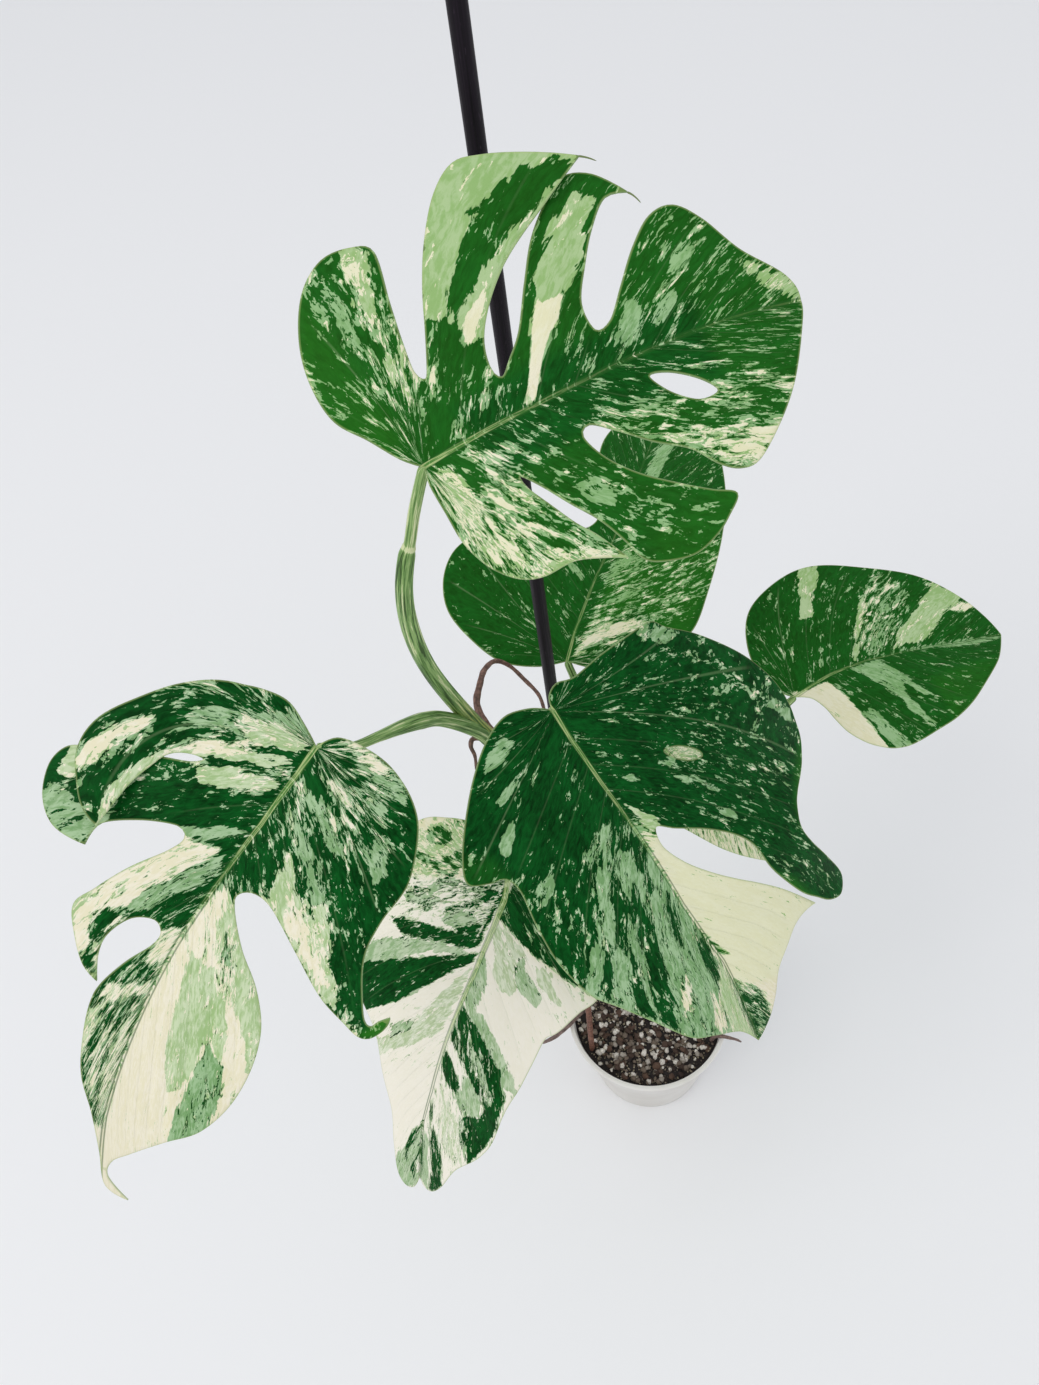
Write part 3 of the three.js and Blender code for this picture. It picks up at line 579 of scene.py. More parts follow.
def arch(leaf, x, y):
    """How far sideways and how high a point y from the midrib lies: each half leaves the midrib
    at its fold and curls back by a steady rate, and waves towards the margin."""
    out, half = np.abs(y), (y < 0).astype(int)
    tilt = np.radians(np.array(leaf["fold"], float))[half]
    curl = np.radians(np.array(leaf["curl"], float))[half] / 100
    sideways = (np.sin(tilt) - np.sin(tilt - curl * out)) / curl
    arched = (np.cos(tilt - curl * out) - np.cos(tilt)) / curl
    height, wave_length, phase = leaf["wave"]
    waved = height * (out / 60) ** 1.5 * np.sin(
        2 * np.pi * (x - out / 2) / wave_length + np.radians(phase) + 2 * half)
    return np.sign(y) * sideways, arched + waved


def held_axes(leaf):
    """The leaf's forward, left and upward directions, from its heading, rise and roll."""
    heading, climb, roll = np.radians([leaf["heading"], leaf["rise"], leaf["roll"]])
    forward = np.array([np.cos(climb) * np.cos(heading), np.cos(climb) * np.sin(heading), np.sin(climb)])
    level = np.array([-np.sin(heading), np.cos(heading), 0])
    left = level * np.cos(roll) + np.cross(forward, level) * np.sin(roll)
    return np.stack([forward, left, np.cross(forward, left)])


def bend(leaf, flat):
    """Where flat points lie once the leaf is held: the midrib's curve, plus an arc across it, plus
    the margin's wave, turned by heading, rise and roll and moved to the base."""
    posed, lift = pose_lobes(leaf, flat)
    x, y = posed.T
    place, along, across = midrib(leaf, x / leaf["length"])
    sideways, height = arch(leaf, x, y)
    place = place + across * sideways[:, None] + np.cross(along, across) * (height + lift)[:, None]
    return place @ held_axes(leaf) + leaf["base"]


for name, leaf in LEAVES.items():
    print(name, "ends at", bend(leaf, np.array([[leaf["length"], 0.0]]))[0].round(), "mm")

# %% [markdown]
# ## Vein coordinates
#
# Everything on a leaf follows its veins: the marbling is made of long cells that grew along them.
# So each point gets two more coordinates. The first says which side vein it is on: how far along
# the midrib that vein starts, going on below zero for the veins that fan out round the stalk. The
# second says how far out along the vein it is. A noise that is stretched in these coordinates
# gives streaks that bend as the veins do.

# %% Vein coordinates
FAN_SCALE = 60
VEIN_SPACING = 15
UV_UNIT = 100  # millimetres in one unit of the UV map that holds these coordinates


def rib_line(name, x):
    """How far left of the flat centre line the midrib shows at x."""
    xs, ys = np.array(MIDRIBS[name], float).T
    return np.interp(x, xs, ys)


def vein_coordinates(name, flat):
    """Where a point's vein starts on the midrib, how far away that is, and the point's distance
    across the midrib.

    A vein's steepness falls as exp(-x / length). Followed back from x, y to the midrib it starts at
    -length log(exp(-x / length) + y / (steepness length)). Where that is below zero the vein starts
    at the joint, and its number is the start over the distance, times FAN_SCALE.
    """
    x, y = flat[:, 0], flat[:, 1] - rib_line(name, flat[:, 0])
    steepness, length = np.array(VEINS[name], float)[(y < 0).astype(int)].T
    start = -length * np.log(np.exp(-x / length) + np.abs(y) / (steepness * length))
    start = np.where(start < 0, FAN_SCALE * start / (np.hypot(x, y) + 1e-3), start)
    return np.stack([start, np.hypot(y, x - np.maximum(start, 0))], axis=1), y


example = vein_coordinates("top_leaf", np.array([[80.0, 40.0]]))[0][0].round()
print("the vein through 80, 40 starts at", example[0], "mm, and the point is", example[1], "mm out")

# %% [markdown]
# ## Filling an outline
#
# The drawn points are joined by smooth curves, the inside is filled with an even grid, and
# Blender's Delaunay routine joins them up so that the margin stays exact. The same triangles serve
# the upper and the lower face.

# %% Filling an outline
GRID = 1.7  # millimetres between points


def cubic(t, start, start_slope, end, end_slope):
    """A curve from start to end that leaves and arrives with the given slopes, at t from 0 to 1."""
    return ((1 + 2 * t) * (1 - t) ** 2 * start + t * (1 - t) ** 2 * start_slope
            + t * t * (3 - 2 * t) * end + t * t * (t - 1) * end_slope)


def smooth_outline(outline, step):
    """A closed line through the drawn points: cubic stretches whose slope at a point is half the
    way between its neighbours, and zero at a corner."""
    points = np.array([corner[:2] for corner in outline], float)
    is_corner = np.array([len(corner) > 2 for corner in outline])[:, None]
    slopes = np.where(is_corner, 0, (np.roll(points, -1, axis=0) - np.roll(points, 1, axis=0)) / 2)
    line = []
    for i, start in enumerate(points):
        k = (i + 1) % len(points)
        pieces = max(1, round(np.hypot(*(points[k] - start)) / step))
        t = (np.arange(pieces) / pieces)[:, None]
        line.append(cubic(t, start, slopes[i], points[k], slopes[k]))
    return np.vstack(line)


def even_grid(loops, step):
    """Rows of points, every other row moved by half a step, that lie inside the first loop, outside
    the others and not too near any of them."""
    low, high = loops[0].min(axis=0), loops[0].max(axis=0)
    row_height = step * np.sqrt(3) / 2
    rows, columns = np.meshgrid(np.arange(low[1], high[1], row_height), np.arange(low[0], high[0], step))
    odd_row = np.round((rows - low[1]) / row_height) % 2
    grid = np.stack([(columns + odd_row * step / 2).ravel(), rows.ravel()], axis=1)
    grid = grid[inside(grid, loops[0])]
    for loop in loops[1:]:
        grid = grid[~inside(grid, loop)]
    for loop in loops:
        grid = grid[distance(grid, loop) > 0.55 * step]
    return grid


def fill_flat(loops, step):
    """Points and triangles, all turned the same way, that fill the first loop and leave the others
    open."""
    edges, first = [], 0
    for loop in loops:
        ring = np.arange(len(loop)) + first
        edges += list(zip(ring.tolist(), np.roll(ring, -1).tolist()))
        first += len(loop)
    points = np.vstack([*loops, even_grid(loops, step)])
    found = delaunay_2d_cdt(points.tolist(), edges, [], 2, 1e-6)
    filled = np.array([tuple(point) for point in found[0]])
    triangles = np.array(found[2])
    for loop in loops[1:]:
        triangles = triangles[~inside(filled[triangles].mean(axis=1), loop)]
    a, b, c = (filled[triangles[:, k]] for k in range(3))
    turned = (b[:, 0] - a[:, 0]) * (c[:, 1] - a[:, 1]) - (b[:, 1] - a[:, 1]) * (c[:, 0] - a[:, 0]) < 0
    triangles[turned] = triangles[turned][:, ::-1]
    return filled, triangles


print("filling the hole takes", len(fill_flat([smooth_outline(hole, GRID)], GRID)[1]), "triangles")

# %% [markdown]
# ## Where each colour lies
#
# The plant is a chimera: its growing tip carries cells with and without green, in layers that
# slide over each other. A leaf takes both kinds up in sectors, and each sector runs out from the
# midrib between the veins. So two layers are drawn, and together they give four colours: neither
# layer leaves the leaf dark green, the first alone makes it grey-green, the second alone pale
# yellow-green, and both make it cream.
#
# The sectors below are read off the leaves as outlines of x,y points in the flat millimetres of
# each leaf. Later ones lie over earlier ones. The mesh only keeps how far each point is from their
# edges, and the material adds the streaks.

# %% Where each colour lies
GROUND = {
  "top_leaf": "dark", "middle_leaf": "dark", "left_leaf": "dark", "low_leaf": "cream",
  "back_leaf": "dark", "right_leaf": "dark", "hidden_leaf": "cream",
}

SECTORS = {
  "top_leaf": [
    ["sage", 3,44, 7,44, 8,66, 4,66],
    ["pale", 11,50, 14,52, 19,64, 23,70, 18,77, 13,74, 12,62],
    ["cream", 14,60, 17,62, 19,70, 17,72, 14,68],
    ["cream", 15,32, 17,34, 18,48, 16,48],
    ["pale", 8,20, 10,22, 12,38, 10,38],
    ["pale", 27,40, 33,36, 36,44, 46,58, 60,68, 78,73, 86,71, 70,79, 56,83, 46,82, 38,70, 30,54],
    ["dark", 46,62, 60,69, 74,74, 70,71, 58,66],
    ["pale", 34,34, 44,42, 54,50, 70,60, 84,70, 72,58, 58,46, 46,35, 40,26, 35,27],
    ["cream", 33,27, 37,34, 46,41, 46,36, 38,26],
    ["cream", 40,-2, 45,-1, 54,10, 64,20, 71,29, 67,34, 60,29, 54,19, 48,8],
    ["pale", 61,27, 70,27, 77,34, 84,44, 89,52, 82,57, 76,51, 69,43, 62,36],
    ["sage", 78,2, 86,2, 92,16, 86,17, 82,10],
    ["sage", 94,5, 104,9, 102,16, 95,12],
    ["sage", 104,20, 107,19, 114,24, 113,28, 106,25],
    ["pale", 128,18, 146,8, 149,-2, 141,3, 131,10],
    ["cream", 84,-34, 92,-34, 100,-39, 110,-42, 122,-40, 131,-37, 126,-44, 116,-53, 104,-51, 94,-42],
    ["pale", 2,-5, 10,-10, 11,-24, 5,-30, -2,-22],
    ["cream", 2,-26, 12,-28, 15,-44, 12,-54, 4,-50, -3,-38],
    ["pale", 10,-49, 24,-53, 36,-55, 49,-66, 36,-64, 24,-60, 8,-58],
    ["sage", 15,-9, 26,-21, 34,-38, 46,-60, 38,-54, 28,-36, 20,-23],
    ["cream", 18,-14, 24,-24, 30,-38, 26,-36, 20,-24],
    ["sage", 20,-13, 27,-20, 34,-33, 40,-45, 34,-40, 26,-28],
    ["sage", 43,-33, 54,-36, 58,-43, 51,-47, 45,-42],
  ],
  "middle_leaf": [
    ["sage", 66,29, 84,39, 90,45, 76,39],
    ["sage", 96,33, 108,45, 104,48, 98,42],
    ["sage", 44,3, 55,12, 48,11],
    ["sage", 55,25, 66,34, 59,34],
    ["sage", 78,99, 92,111, 106,121, 98,123, 86,114],
    ["sage", 8,64, 15,68, 22,84, 11,79],
    ["pale", 58,-1, 78,0, 80,9, 70,5],
    ["sage", 66,-3, 226,-3, 226,-12, 196,-30, 183,-44, 158,-57, 136,-68, 117,-77, 106,-66, 96,-56, 84,-46,
      74,-38, 64,-22],
    ["sage", 56,-14, 62,-16, 66,-36, 60,-34],
    ["sage", -9,-28, -4,-25, -1,-36, -3,-47, -8,-40],
    ["sage", 8,-35, 12,-37, 13,-50, 9,-51],
    ["sage", 21,-51, 28,-53, 33,-63, 25,-63],
    ["sage", 53,-50, 62,-54, 64,-64, 56,-62],
    ["dark", 62,-7, 84,-7, 90,-12, 101,-14, 100,-18, 84,-16, 75,-15, 70,-20, 77,-25, 66,-23, 58,-14],
    ["dark", 88,-23, 112,-25, 135,-31, 160,-38, 175,-43, 160,-48, 140,-43, 120,-38, 104,-36, 96,-32],
    ["dark", 75,-27, 90,-29, 104,-37, 120,-46, 106,-47, 92,-41, 80,-34],
    ["dark", 118,-43, 140,-46, 158,-50, 148,-56, 130,-51],
    ["dark", 100,-50, 116,-55, 130,-64, 120,-66, 106,-58],
    ["dark", 106,-10, 122,-12, 138,-19, 126,-20, 112,-16],
    ["dark", 136,-5, 150,-4, 172,-8, 170,-12, 152,-13, 142,-10],
    ["cream", 150,-24, 158,-26, 167,-32, 170,-36, 160,-34],
    ["pale", 160,-3, 205,-3, 228,-1, 208,-14, 180,-15],
    ["cream", 170,-16, 190,-16, 204,-18, 188,-22],
    ["cream", 68,-3, 80,1, 84,6, 104,14, 118,22, 132,32.5, 147,44, 163,54.5, 178,64, 197,77, 206,60,
      208,29, 226,19, 230,10, 200,8, 190,0, 160,-4, 120,-6, 90,-5],
    ["dark", 180,-1, 190,6, 200,12, 222,13, 229,1, 210,0, 195,-2],
    ["dark", 138,-5, 150,-4, 158,-1, 164,4, 156,1, 148,-2],
  ],
  "left_leaf": [
    ["sage", -16,12, -9,8, -6,30, -8,44, -14,40],
    ["cream", -15,9, -10,7, -9,24, -12,32, -15,28],
    ["cream", 5,15, 8,13, 10,26, 8,31, 6,24],
    ["sage", -2,26, 3,24, 4,38, -1,42],
    ["sage", 12,44, 22,46, 30,56, 22,58, 14,52],
    ["sage", 13,8, 19,12, 30,34, 28,40, 20,26],
    ["sage", 25,10, 32,12, 46,30, 56,42, 50,45, 36,30],
    ["pale", 42,20, 52,22, 66,22, 71,34, 82,48, 94,64, 108,88, 98,80, 84,70, 70,60, 58,52, 50,47, 56,40,
      46,28],
    ["cream", 58,30, 68,34, 78,47, 90,62, 86,66, 74,56, 62,44],
    ["dark", 41,24, 46,24, 60,41, 60,45, 52,38, 46,33],
    ["dark", 38,5, 75,11, 70,14, 67,19, 65,25, 58,23, 48,16, 38,11],
    ["dark", 66,58, 76,62, 86,70, 98,76, 104,84, 92,78, 78,69],
    ["cream", 70,5, 90,1, 150,-1, 205,-3, 250,8, 250,16, 228,8, 206,30, 192,45, 172,54, 146,57, 122,54,
      104,43, 90,28, 74,14],
    ["pale", 72,10, 88,13, 102,22, 112,30, 132,47, 150,51, 140,56, 122,54, 104,43, 92,30, 78,17],
    ["sage", 88,17, 98,20, 108,27, 100,26, 92,22],
    ["pale", 104,8, 125,12, 150,15, 173,22, 171,27, 150,31, 122,31, 106,22],
    ["pale", 110,26, 142,28, 154,42, 135,38, 118,33],
    ["sage", 138,31, 160,30, 186,28, 204,29, 192,44, 165,45, 150,41],
    ["dark", 66,1, 100,2, 107,-3, 104,-8, 99,-13, 92,-9, 80,-4],
    ["cream", 98,1, 112,0, 119,-5, 112,-9, 104,-7, 98,-3],
    ["dark", 108,1, 126,0, 130,-8, 131,-14, 135,-21, 126,-18, 116,-11, 118,-4],
    ["cream", 125,0, 132,-1, 135,-8, 141,-12, 140,-19, 134,-18, 130,-10],
    ["dark", 132,-1, 160,-2, 205,-3, 222,-2, 200,-10, 180,-18, 160,-22, 136,-22, 142,-17, 140,-10,
      134,-6],
    ["cream", 205,-8, 255,-6, 255,20, 225,8, 205,12],
    ["cream", 140,-3, 175,-3, 214,-3, 176,-7, 150,-6],
    ["cream", 150,-10, 172,-10, 192,-9, 178,-13, 156,-13],
    ["pale", 142,-16, 160,-17, 176,-15, 164,-21, 148,-22],
    ["cream", 58,-4, 70,-5, 85,-13, 100,-24, 115,-28, 136,-24, 132,-33, 115,-46, 104,-44, 90,-36, 75,-26,
      63,-21],
    ["sage", 60,-1, 72,-1, 84,-9, 97,-17, 100,-25, 88,-21, 76,-13, 64,-6],
    ["dark", 68,0, 90,-1, 100,-5, 99,-13, 90,-10, 78,-4],
    ["dark", 99,-24, 110,-28, 124,-29, 135,-25, 132,-34, 122,-32, 112,-35, 104,-33],
    ["pale", 98,-38, 112,-42, 124,-38, 134,-32, 122,-43, 109,-48],
    ["sage", 80,-46, 95,-46, 95,-70, 84,-70],
    ["sage", 56,-50, 80,-46, 85,-48, 84,-54, 60,-54],
    ["pale", 62,-68, 80,-66, 84,-72, 76,-81, 66,-76],
    ["sage", 44,0, 50,-2, 58,-12, 63,-20, 60,-24, 54,-14],
    ["pale", 23,0, 29,-6, 36,-17, 41,-27, 36,-34, 30,-23, 22,-8],
    ["sage", -1,-3, 8,-8, 14,-22, 19,-34, 23,-46, 14,-42, 8,-32, 2,-22, -5,-18],
    ["pale", 1,-3, 10,-8, 16,-22, 15,-30, 10,-30, 3,-18],
    ["pale", 12,-3, 20,-10, 28,-26, 34,-34, 42,-48, 51,-64, 55,-84, 49,-78, 43,-63, 35,-49, 26,-34,
      18,-20],
    ["cream", 20,-20, 28,-30, 33,-38, 38,-48, 33,-46, 24,-32],
    ["cream", 24,-55, 29,-57, 32,-68, 31,-78, 25,-79, 23,-66],
    ["dark", 84,91, 100,91, 108,88, 106,100, 84,100],
  ],
  "low_leaf": [
    ["dark", -20,2, 22,6, 25,40, 24,90, -20,90],
    ["sage", -16,20, -6,23, 0,31, -12,27],
    ["pale", 25,9, 34,9, 42,18, 54,20, 60,30, 58,38, 50,41, 36,36, 30,42, 26,30],
    ["sage", 29,36, 36,41, 44,58, 53,57, 52,44, 46,35, 34,33],
    ["pale", 26,56, 32,60, 40,73, 43,62, 36,50, 29,47],
    ["sage", 46,9, 54,16, 62,20, 80,20, 82,9],
    ["sage", 80,9, 82,26, 94,44, 108,60, 118,66, 116,54, 104,40, 92,20],
    ["dark", 84,9, 90,22, 100,39, 110,51, 124,60, 150,58, 172,50, 192,40, 180,34, 160,30, 152,34, 150,44,
      140,46, 132,40, 124,28, 116,18, 111,9],
    ["sage", 104,24, 110,26, 124,42, 134,50, 128,52, 114,40],
    ["sage", 126,26, 128,34, 136,43, 149,45, 156,32, 150,24, 143,20, 138,27],
    ["pale", 146,12, 154,18, 166,30, 184,36, 196,36, 180,27, 164,16],
    ["dark", 117,7, 124,16, 136,26, 144,24, 142,16, 132,7],
    ["pale", 160,14, 170,22, 184,29, 198,31, 190,22, 176,16],
    ["sage", 150,29, 165,30, 180,37, 192,38, 176,31],
    ["dark", 178,10, 186,16, 200,20, 222,20, 234,12, 232,8, 215,12, 200,10, 188,8],
    ["sage", 186,3, 200,1, 226,0, 234,7, 214,9, 192,8],
    ["dark", 152,7, 170,8, 188,8, 170,5],
    ["dark", 184,1, 200,3, 214,3, 226,1, 205,-1],
    ["pale", -14,-30, 14,-32, 26,-40, 32,-62, 8,-68, -8,-56, -14,-40],
    ["dark", -6,-31, 15,-31, 22,-40, 26,-66, 20,-66, 14,-46, 4,-40],
    ["dark", -4,-48, 6,-46, 10,-60, 6,-66, -1,-58],
    ["sage", 5,-4, 14,-6, 26,-22, 16,-18],
    ["sage", 14,-26, 26,-28, 38,-48, 28,-46],
    ["sage", 32,-1, 44,-9, 47,-26, 36,-31, 29,-14],
    ["dark", -3,-1, 15,-1, 26,-13, 15,-11, 4,-7],
    ["dark", 14,-13, 20,-16, 31,-38, 24,-34],
    ["dark", 17,-1, 28,-13, 35,-23, 27,-18],
    ["dark", 26,0, 42,0, 50,-16, 44,-14, 36,-8],
    ["dark", 2,3, 42,4, 46,0, 4,-1],
    ["sage", 35,-35, 46,-39, 53,-58, 46,-61, 38,-48],
    ["dark", 42,4, 50,0, 57,-17, 63,-31, 70,-50, 66,-64, 60,-53, 54,-36, 48,-18, 42,-6],
    # Painted sheen: this grey-green band stands in for a grey sheen across the blade.
    ["sage", 52,0, 60,-10, 68,-26, 80,-42, 95,-60, 100,-70, 84,-70, 74,-52, 64,-36, 56,-18],
    ["dark", 48,6, 57,4, 66,-3, 80,-13, 96,-25, 110,-37, 120,-49, 130,-61, 118,-70, 100,-70, 92,-58,
      80,-38, 70,-25, 60,-9],
    ["pale", 57,6, 80,5, 100,3, 112,-1, 122,-9, 132,-19, 142,-31, 152,-42, 142,-46, 134,-35, 122,-25,
      108,-17, 92,-9, 74,-2],
    ["sage", 112,-18, 124,-24, 134,-35, 128,-36, 118,-27],
    ["sage", 176,1, 190,-3, 200,-9, 215,-17, 228,-22, 242,-14, 236,-2, 215,-2, 195,1],
    ["dark", 182,0, 196,-3, 210,-9, 220,-10, 204,-11, 190,-6],
    ["dark", 208,-2, 226,-4, 236,-3, 224,-7],
  ],
  "back_leaf": [
    ["sage", 57,8, 62,10, 70,24, 66,24],
    ["sage", 20,28, 25,38, 23,30],
    ["cream", 5,-3, 17,-5, 30,-12, 38,-25, 43,-42, 36,-40, 28,-26, 16,-12],
    ["sage", 58,-6, 76,-13, 88,-23, 90,-12, 78,-5],
    ["sage", 42,-8, 58,-18, 72,-32, 58,-27],
    ["sage", 160,-4, 198,-6, 198,-16, 160,-13],
  ],
  "right_leaf": [
    ["pale", 35,45, 42,43, 51,59, 61,71, 64,80, 53,82, 45,66],
    ["pale", 48,2, 55,5, 64,17, 76,36, 82,48, 73,39, 60,19],
    ["sage", 60,3, 72,4, 80,13, 90,29, 97,44, 86,35, 74,20],
    ["dark", 74,18, 90,22, 108,30, 124,40, 104,36, 86,29],
    ["pale", 78,2, 106,2, 116,12, 128,22, 144,30, 126,44, 118,35, 106,25, 92,14],
    ["cream", 128,21, 140,26, 152,24, 146,21, 136,19],
    ["sage", 60,1, 120,-3, 161,-2, 150,-6, 126,-7, 100,-4],
    ["cream", -2,4, 8,0, 25,-2, 28,-20, 28,-45, 26,-64, 16,-58, 6,-40, 6,-8],
    ["sage", 31,-33, 36,-33, 43,-56, 46,-68, 32,-66, 30,-50],
    ["sage", 45,-1, 66,-2, 72,-13, 80,-33, 86,-42, 78,-39, 71,-26, 67,-31, 72,-51, 76,-60, 66,-56, 62,-37,
      56,-23, 50,-10],
  ],
  "hidden_leaf": [
    ["pale", 10,2, 60,4, 110,2, 100,14, 60,22, 20,16],
    ["dark", 10,-2, 50,-14, 66,-22, 50,-18, 14,-8],
    ["sage", 6,-8, 40,-22, 58,-32, 40,-28, 8,-16],
  ],
}

print(sum(len(sectors) for sectors in SECTORS.values()), "sectors on", len(SECTORS), "leaves")

# %% [markdown]
# ## How flecked and how bright
#
# Some sectors are clean and others full of flecks, and young parts are brighter. Both are one value
# for a whole leaf, and other values in a few soft-edged areas.

# %% How flecked and how bright
# How thickly a leaf is flecked, where 0 is none and 1 is half: over all of it, and then in areas.
FLECKS = {
  "top_leaf": [
    0.6,
    [0.9, [0,10, 22,10, 24,78, 0,78]],
    [0.75, [-20,10, -4,10, -4,70, -20,70]],
    [0.3, [28,34, 32,24, 50,34, 88,68, 88,76, 50,86, 28,60]],
    [0.35, [56,20, 72,26, 92,54, 78,62, 62,40]],
    [-0.1, [38,-1, 50,-1, 73,29, 67,37, 50,20]],
    [1.05, [56,-14, 75,-18, 138,-22, 128,-44, 110,-54, 84,-38, 68,-28]],
    [1.25, [0,-3, 25,-10, 50,-66, 10,-60, -6,-35]],
    [0.6, [56,-44, 80,-50, 104,-60, 76,-76, 54,-70]],
  ],
  "middle_leaf": [
    0.42,
    [0.62, [4,66, 30,44, 60,52, 100,50, 120,90, 122,125, 60,116, 10,82]],
    [0.25, [0,0, 80,2, 96,26, 60,30, 20,24, 0,20]],
    [0.2, [-14,-2, 55,-4, 55,-60, 14,-70, -14,-30]],
    [0.62, [55,-3, 225,-3, 183,-44, 94,-78, 60,-74]],
    [0, [84,0, 106,7, 127,18, 200,78, 200,46, 226,18, 196,7, 120,-7]],
    [1, [176,-2, 195,14, 222,14, 232,0, 205,-4]],
  ],
  "left_leaf": [
    0.65,
    [0.9, [-16,4, 30,4, 34,44, -16,44]],
    [0.4, [0,56, 60,56, 90,76, 20,72]],
    [0.3, [100,6, 205,6, 200,50, 110,50]],
    [0.95, [86,10, 98,14, 118,28, 114,36, 92,26]],
    [0.3, [26,-2, 66,-2, 64,-22, 96,-46, 60,-50, 40,-30]],
    [0.75, [150,33, 196,31, 190,44, 160,45]],
    [0, [116,-1, 248,-2, 248,14, 190,24, 140,13]],
    [0.9, [104,0, 205,-2, 180,-20, 136,-24]],
    [0.75, [-8,-3, 30,-3, 56,-86, 10,-80]],
  ],
  "low_leaf": [
    0.4,
    [1.1, [-12,-30, 20,-30, 34,-60, 20,-75, -20,-50]],
    [1.1, [0,-1, 30,-1, 60,-60, 34,-66, 20,-30]],
    [0.15, [62,-2, 84,-6, 136,-60, 104,-74, 74,-44]],
    [0, [136,2, 176,2, 208,-22, 158,-40, 150,-30]],
    [0, [54,22, 82,24, 112,68, 60,80, 44,62]],
    [0.8, [90,10, 112,10, 140,46, 120,58]],
    [0.9, [140,8, 196,12, 200,30, 180,38, 150,30]],
    [0.25, [124,52, 150,48, 180,36, 192,42, 150,60]],
  ],
  "back_leaf": [
    0.3,
    [0.9, [0,-2, 249,-2, 206,-50, 80,-74, 0,-20]],
    [0.4, [140,-70, 210,-60, 210,30, 140,30]],
  ],
  "right_leaf": [
    0.4,
    [1.1, [54,3, 86,4, 110,46, 96,66, 76,44, 64,22]],
    [0, [0,2, 25,-2, 28,-64, 4,-56]],
    [0.3, [74,-6, 150,-10, 150,-24, 90,-60, 78,-30]],
  ],
  "hidden_leaf": [1],
}

# How young and bright the colours are, from 0 to 1. Below 0, all but the dark green turn milky.
BRIGHT = {
  "top_leaf": [
    0.4,
    [0.6, [-20,10, 0,10, 0,72, -20,72]],
    [0.5, [60,-62, 100,-55, 104,-74, 60,-78]],
    [0.15, [20,-20, 110,-20, 110,10, 20,10]],
  ],
  "middle_leaf": [
    0,
    [0.6, [68,-3, 84,6, 118,24, 165,63, 200,80, 206,29, 184,0, 120,-6]],
    [0.5, [118,122, 124,98, 132,83, 142,79, 134,88, 127,124]],
    [0.2, [28,-68, 58,-66, 40,-90, 10,-84]],
  ],
  "left_leaf": [
    -0.15,
    [0.1, [120,28, 204,26, 194,46, 150,44]],
    [0.9, [84,91, 100,91, 108,88, 106,100, 84,100]],
  ],
  "low_leaf": [
    -0.75,
    [0.25, [-18,-26, 16,-28, 36,-64, 4,-76, -18,-50]],
    [0, [-20,2, 22,6, 25,40, 24,90, -20,90]],
  ],
  "back_leaf": [
    0.3,
    [0.6, [20,-6, 100,-6, 120,-70, 30,-66, 50,-30]],
  ],
  "right_leaf": [
    0.3,
    [0.5, [90,-28, 150,-20, 120,-50, 90,-64]],
  ],
  "hidden_leaf": [0.3],
}

print(sum(len(areas) - 1 for areas in FLECKS.values()), "areas with flecks of their own")

# %% [markdown]
# ## Distances and soft areas
#
# A sector adds to a layer or takes away from it. With distances that is simple: positive inside a
# layer and negative outside, adding is the larger of two distances and taking away is the smaller
# of one and the other's negative.

# %% Distances and soft areas
REACH = 12
LAYERS = {"dark": (False, False), "sage": (True, False), "pale": (False, True), "cream": (True, True)}


def signed(flat, numbers):
    """The distance to an outline given as x and y in turn, positive inside it."""
    outline = np.reshape(numbers, (-1, 2))
    return distance(flat, outline) * np.where(inside(flat, outline), 1, -1)


def two_layers(name, flat):
    """The distance into each of the two layers, no further than REACH."""
    layers = [np.full(len(flat), REACH if on else -REACH, float) for on in LAYERS[GROUND[name]]]
    for kind, *outline in SECTORS[name]:
        depth = signed(flat, outline)
        for k, on in enumerate(LAYERS[kind]):
            layers[k] = np.maximum(layers[k], depth) if on else np.minimum(layers[k], -depth)
    return [np.clip(layer, -REACH, REACH) for layer in layers]


def soft_areas(areas, flat):
    """A value everywhere, then another in each area, fading over a few millimetres."""
    value = np.full(len(flat), areas[0], float)
    for amount, outline in areas[1:]:
        value += (amount - value) * np.clip(signed(flat, outline) / 6 + 0.5, 0, 1)
    return value


sage_depth, pale_depth = two_layers("top_leaf", np.array([[17.0, 65.0]]))
print("the point 17, 65 is", sage_depth.round(1), "and", pale_depth.round(1), "mm into the layers")

# %% [markdown]
# ## The relief of a blade
#
# Between the side veins the blade bulges up a little and along them it dips, and the midrib is a
# shallow groove above and a round ridge below. A bump map could fake this, but a large leaf shows
# it in its sheen, so it is real. Both faces get it, so the blade keeps its thickness.

# %% The relief of a blade
BLADE_THICKNESS = 0.8
QUILT_HEIGHT = 0.8
GROOVE_DEPTH, GROOVE_WIDTH = 0.4, 1.6
RIDGE_LEAST, RIDGE_MORE = 0.3, 1.3


def vertex_normals(points, triangles):
    """The normal at each point: the sum of its triangles' normals, made one long."""
    a, b, c = (points[triangles[:, k]] for k in range(3))
    normals = np.zeros_like(points)
    for k in range(3):
        np.add.at(normals, triangles[:, k], np.cross(b - a, c - a))
    return normals / np.linalg.norm(normals, axis=1)[:, None]


def fade(value, start, end):
    """0 at start and 1 at end, straight between."""
    return np.clip((value - start) / (end - start), 0, 1)


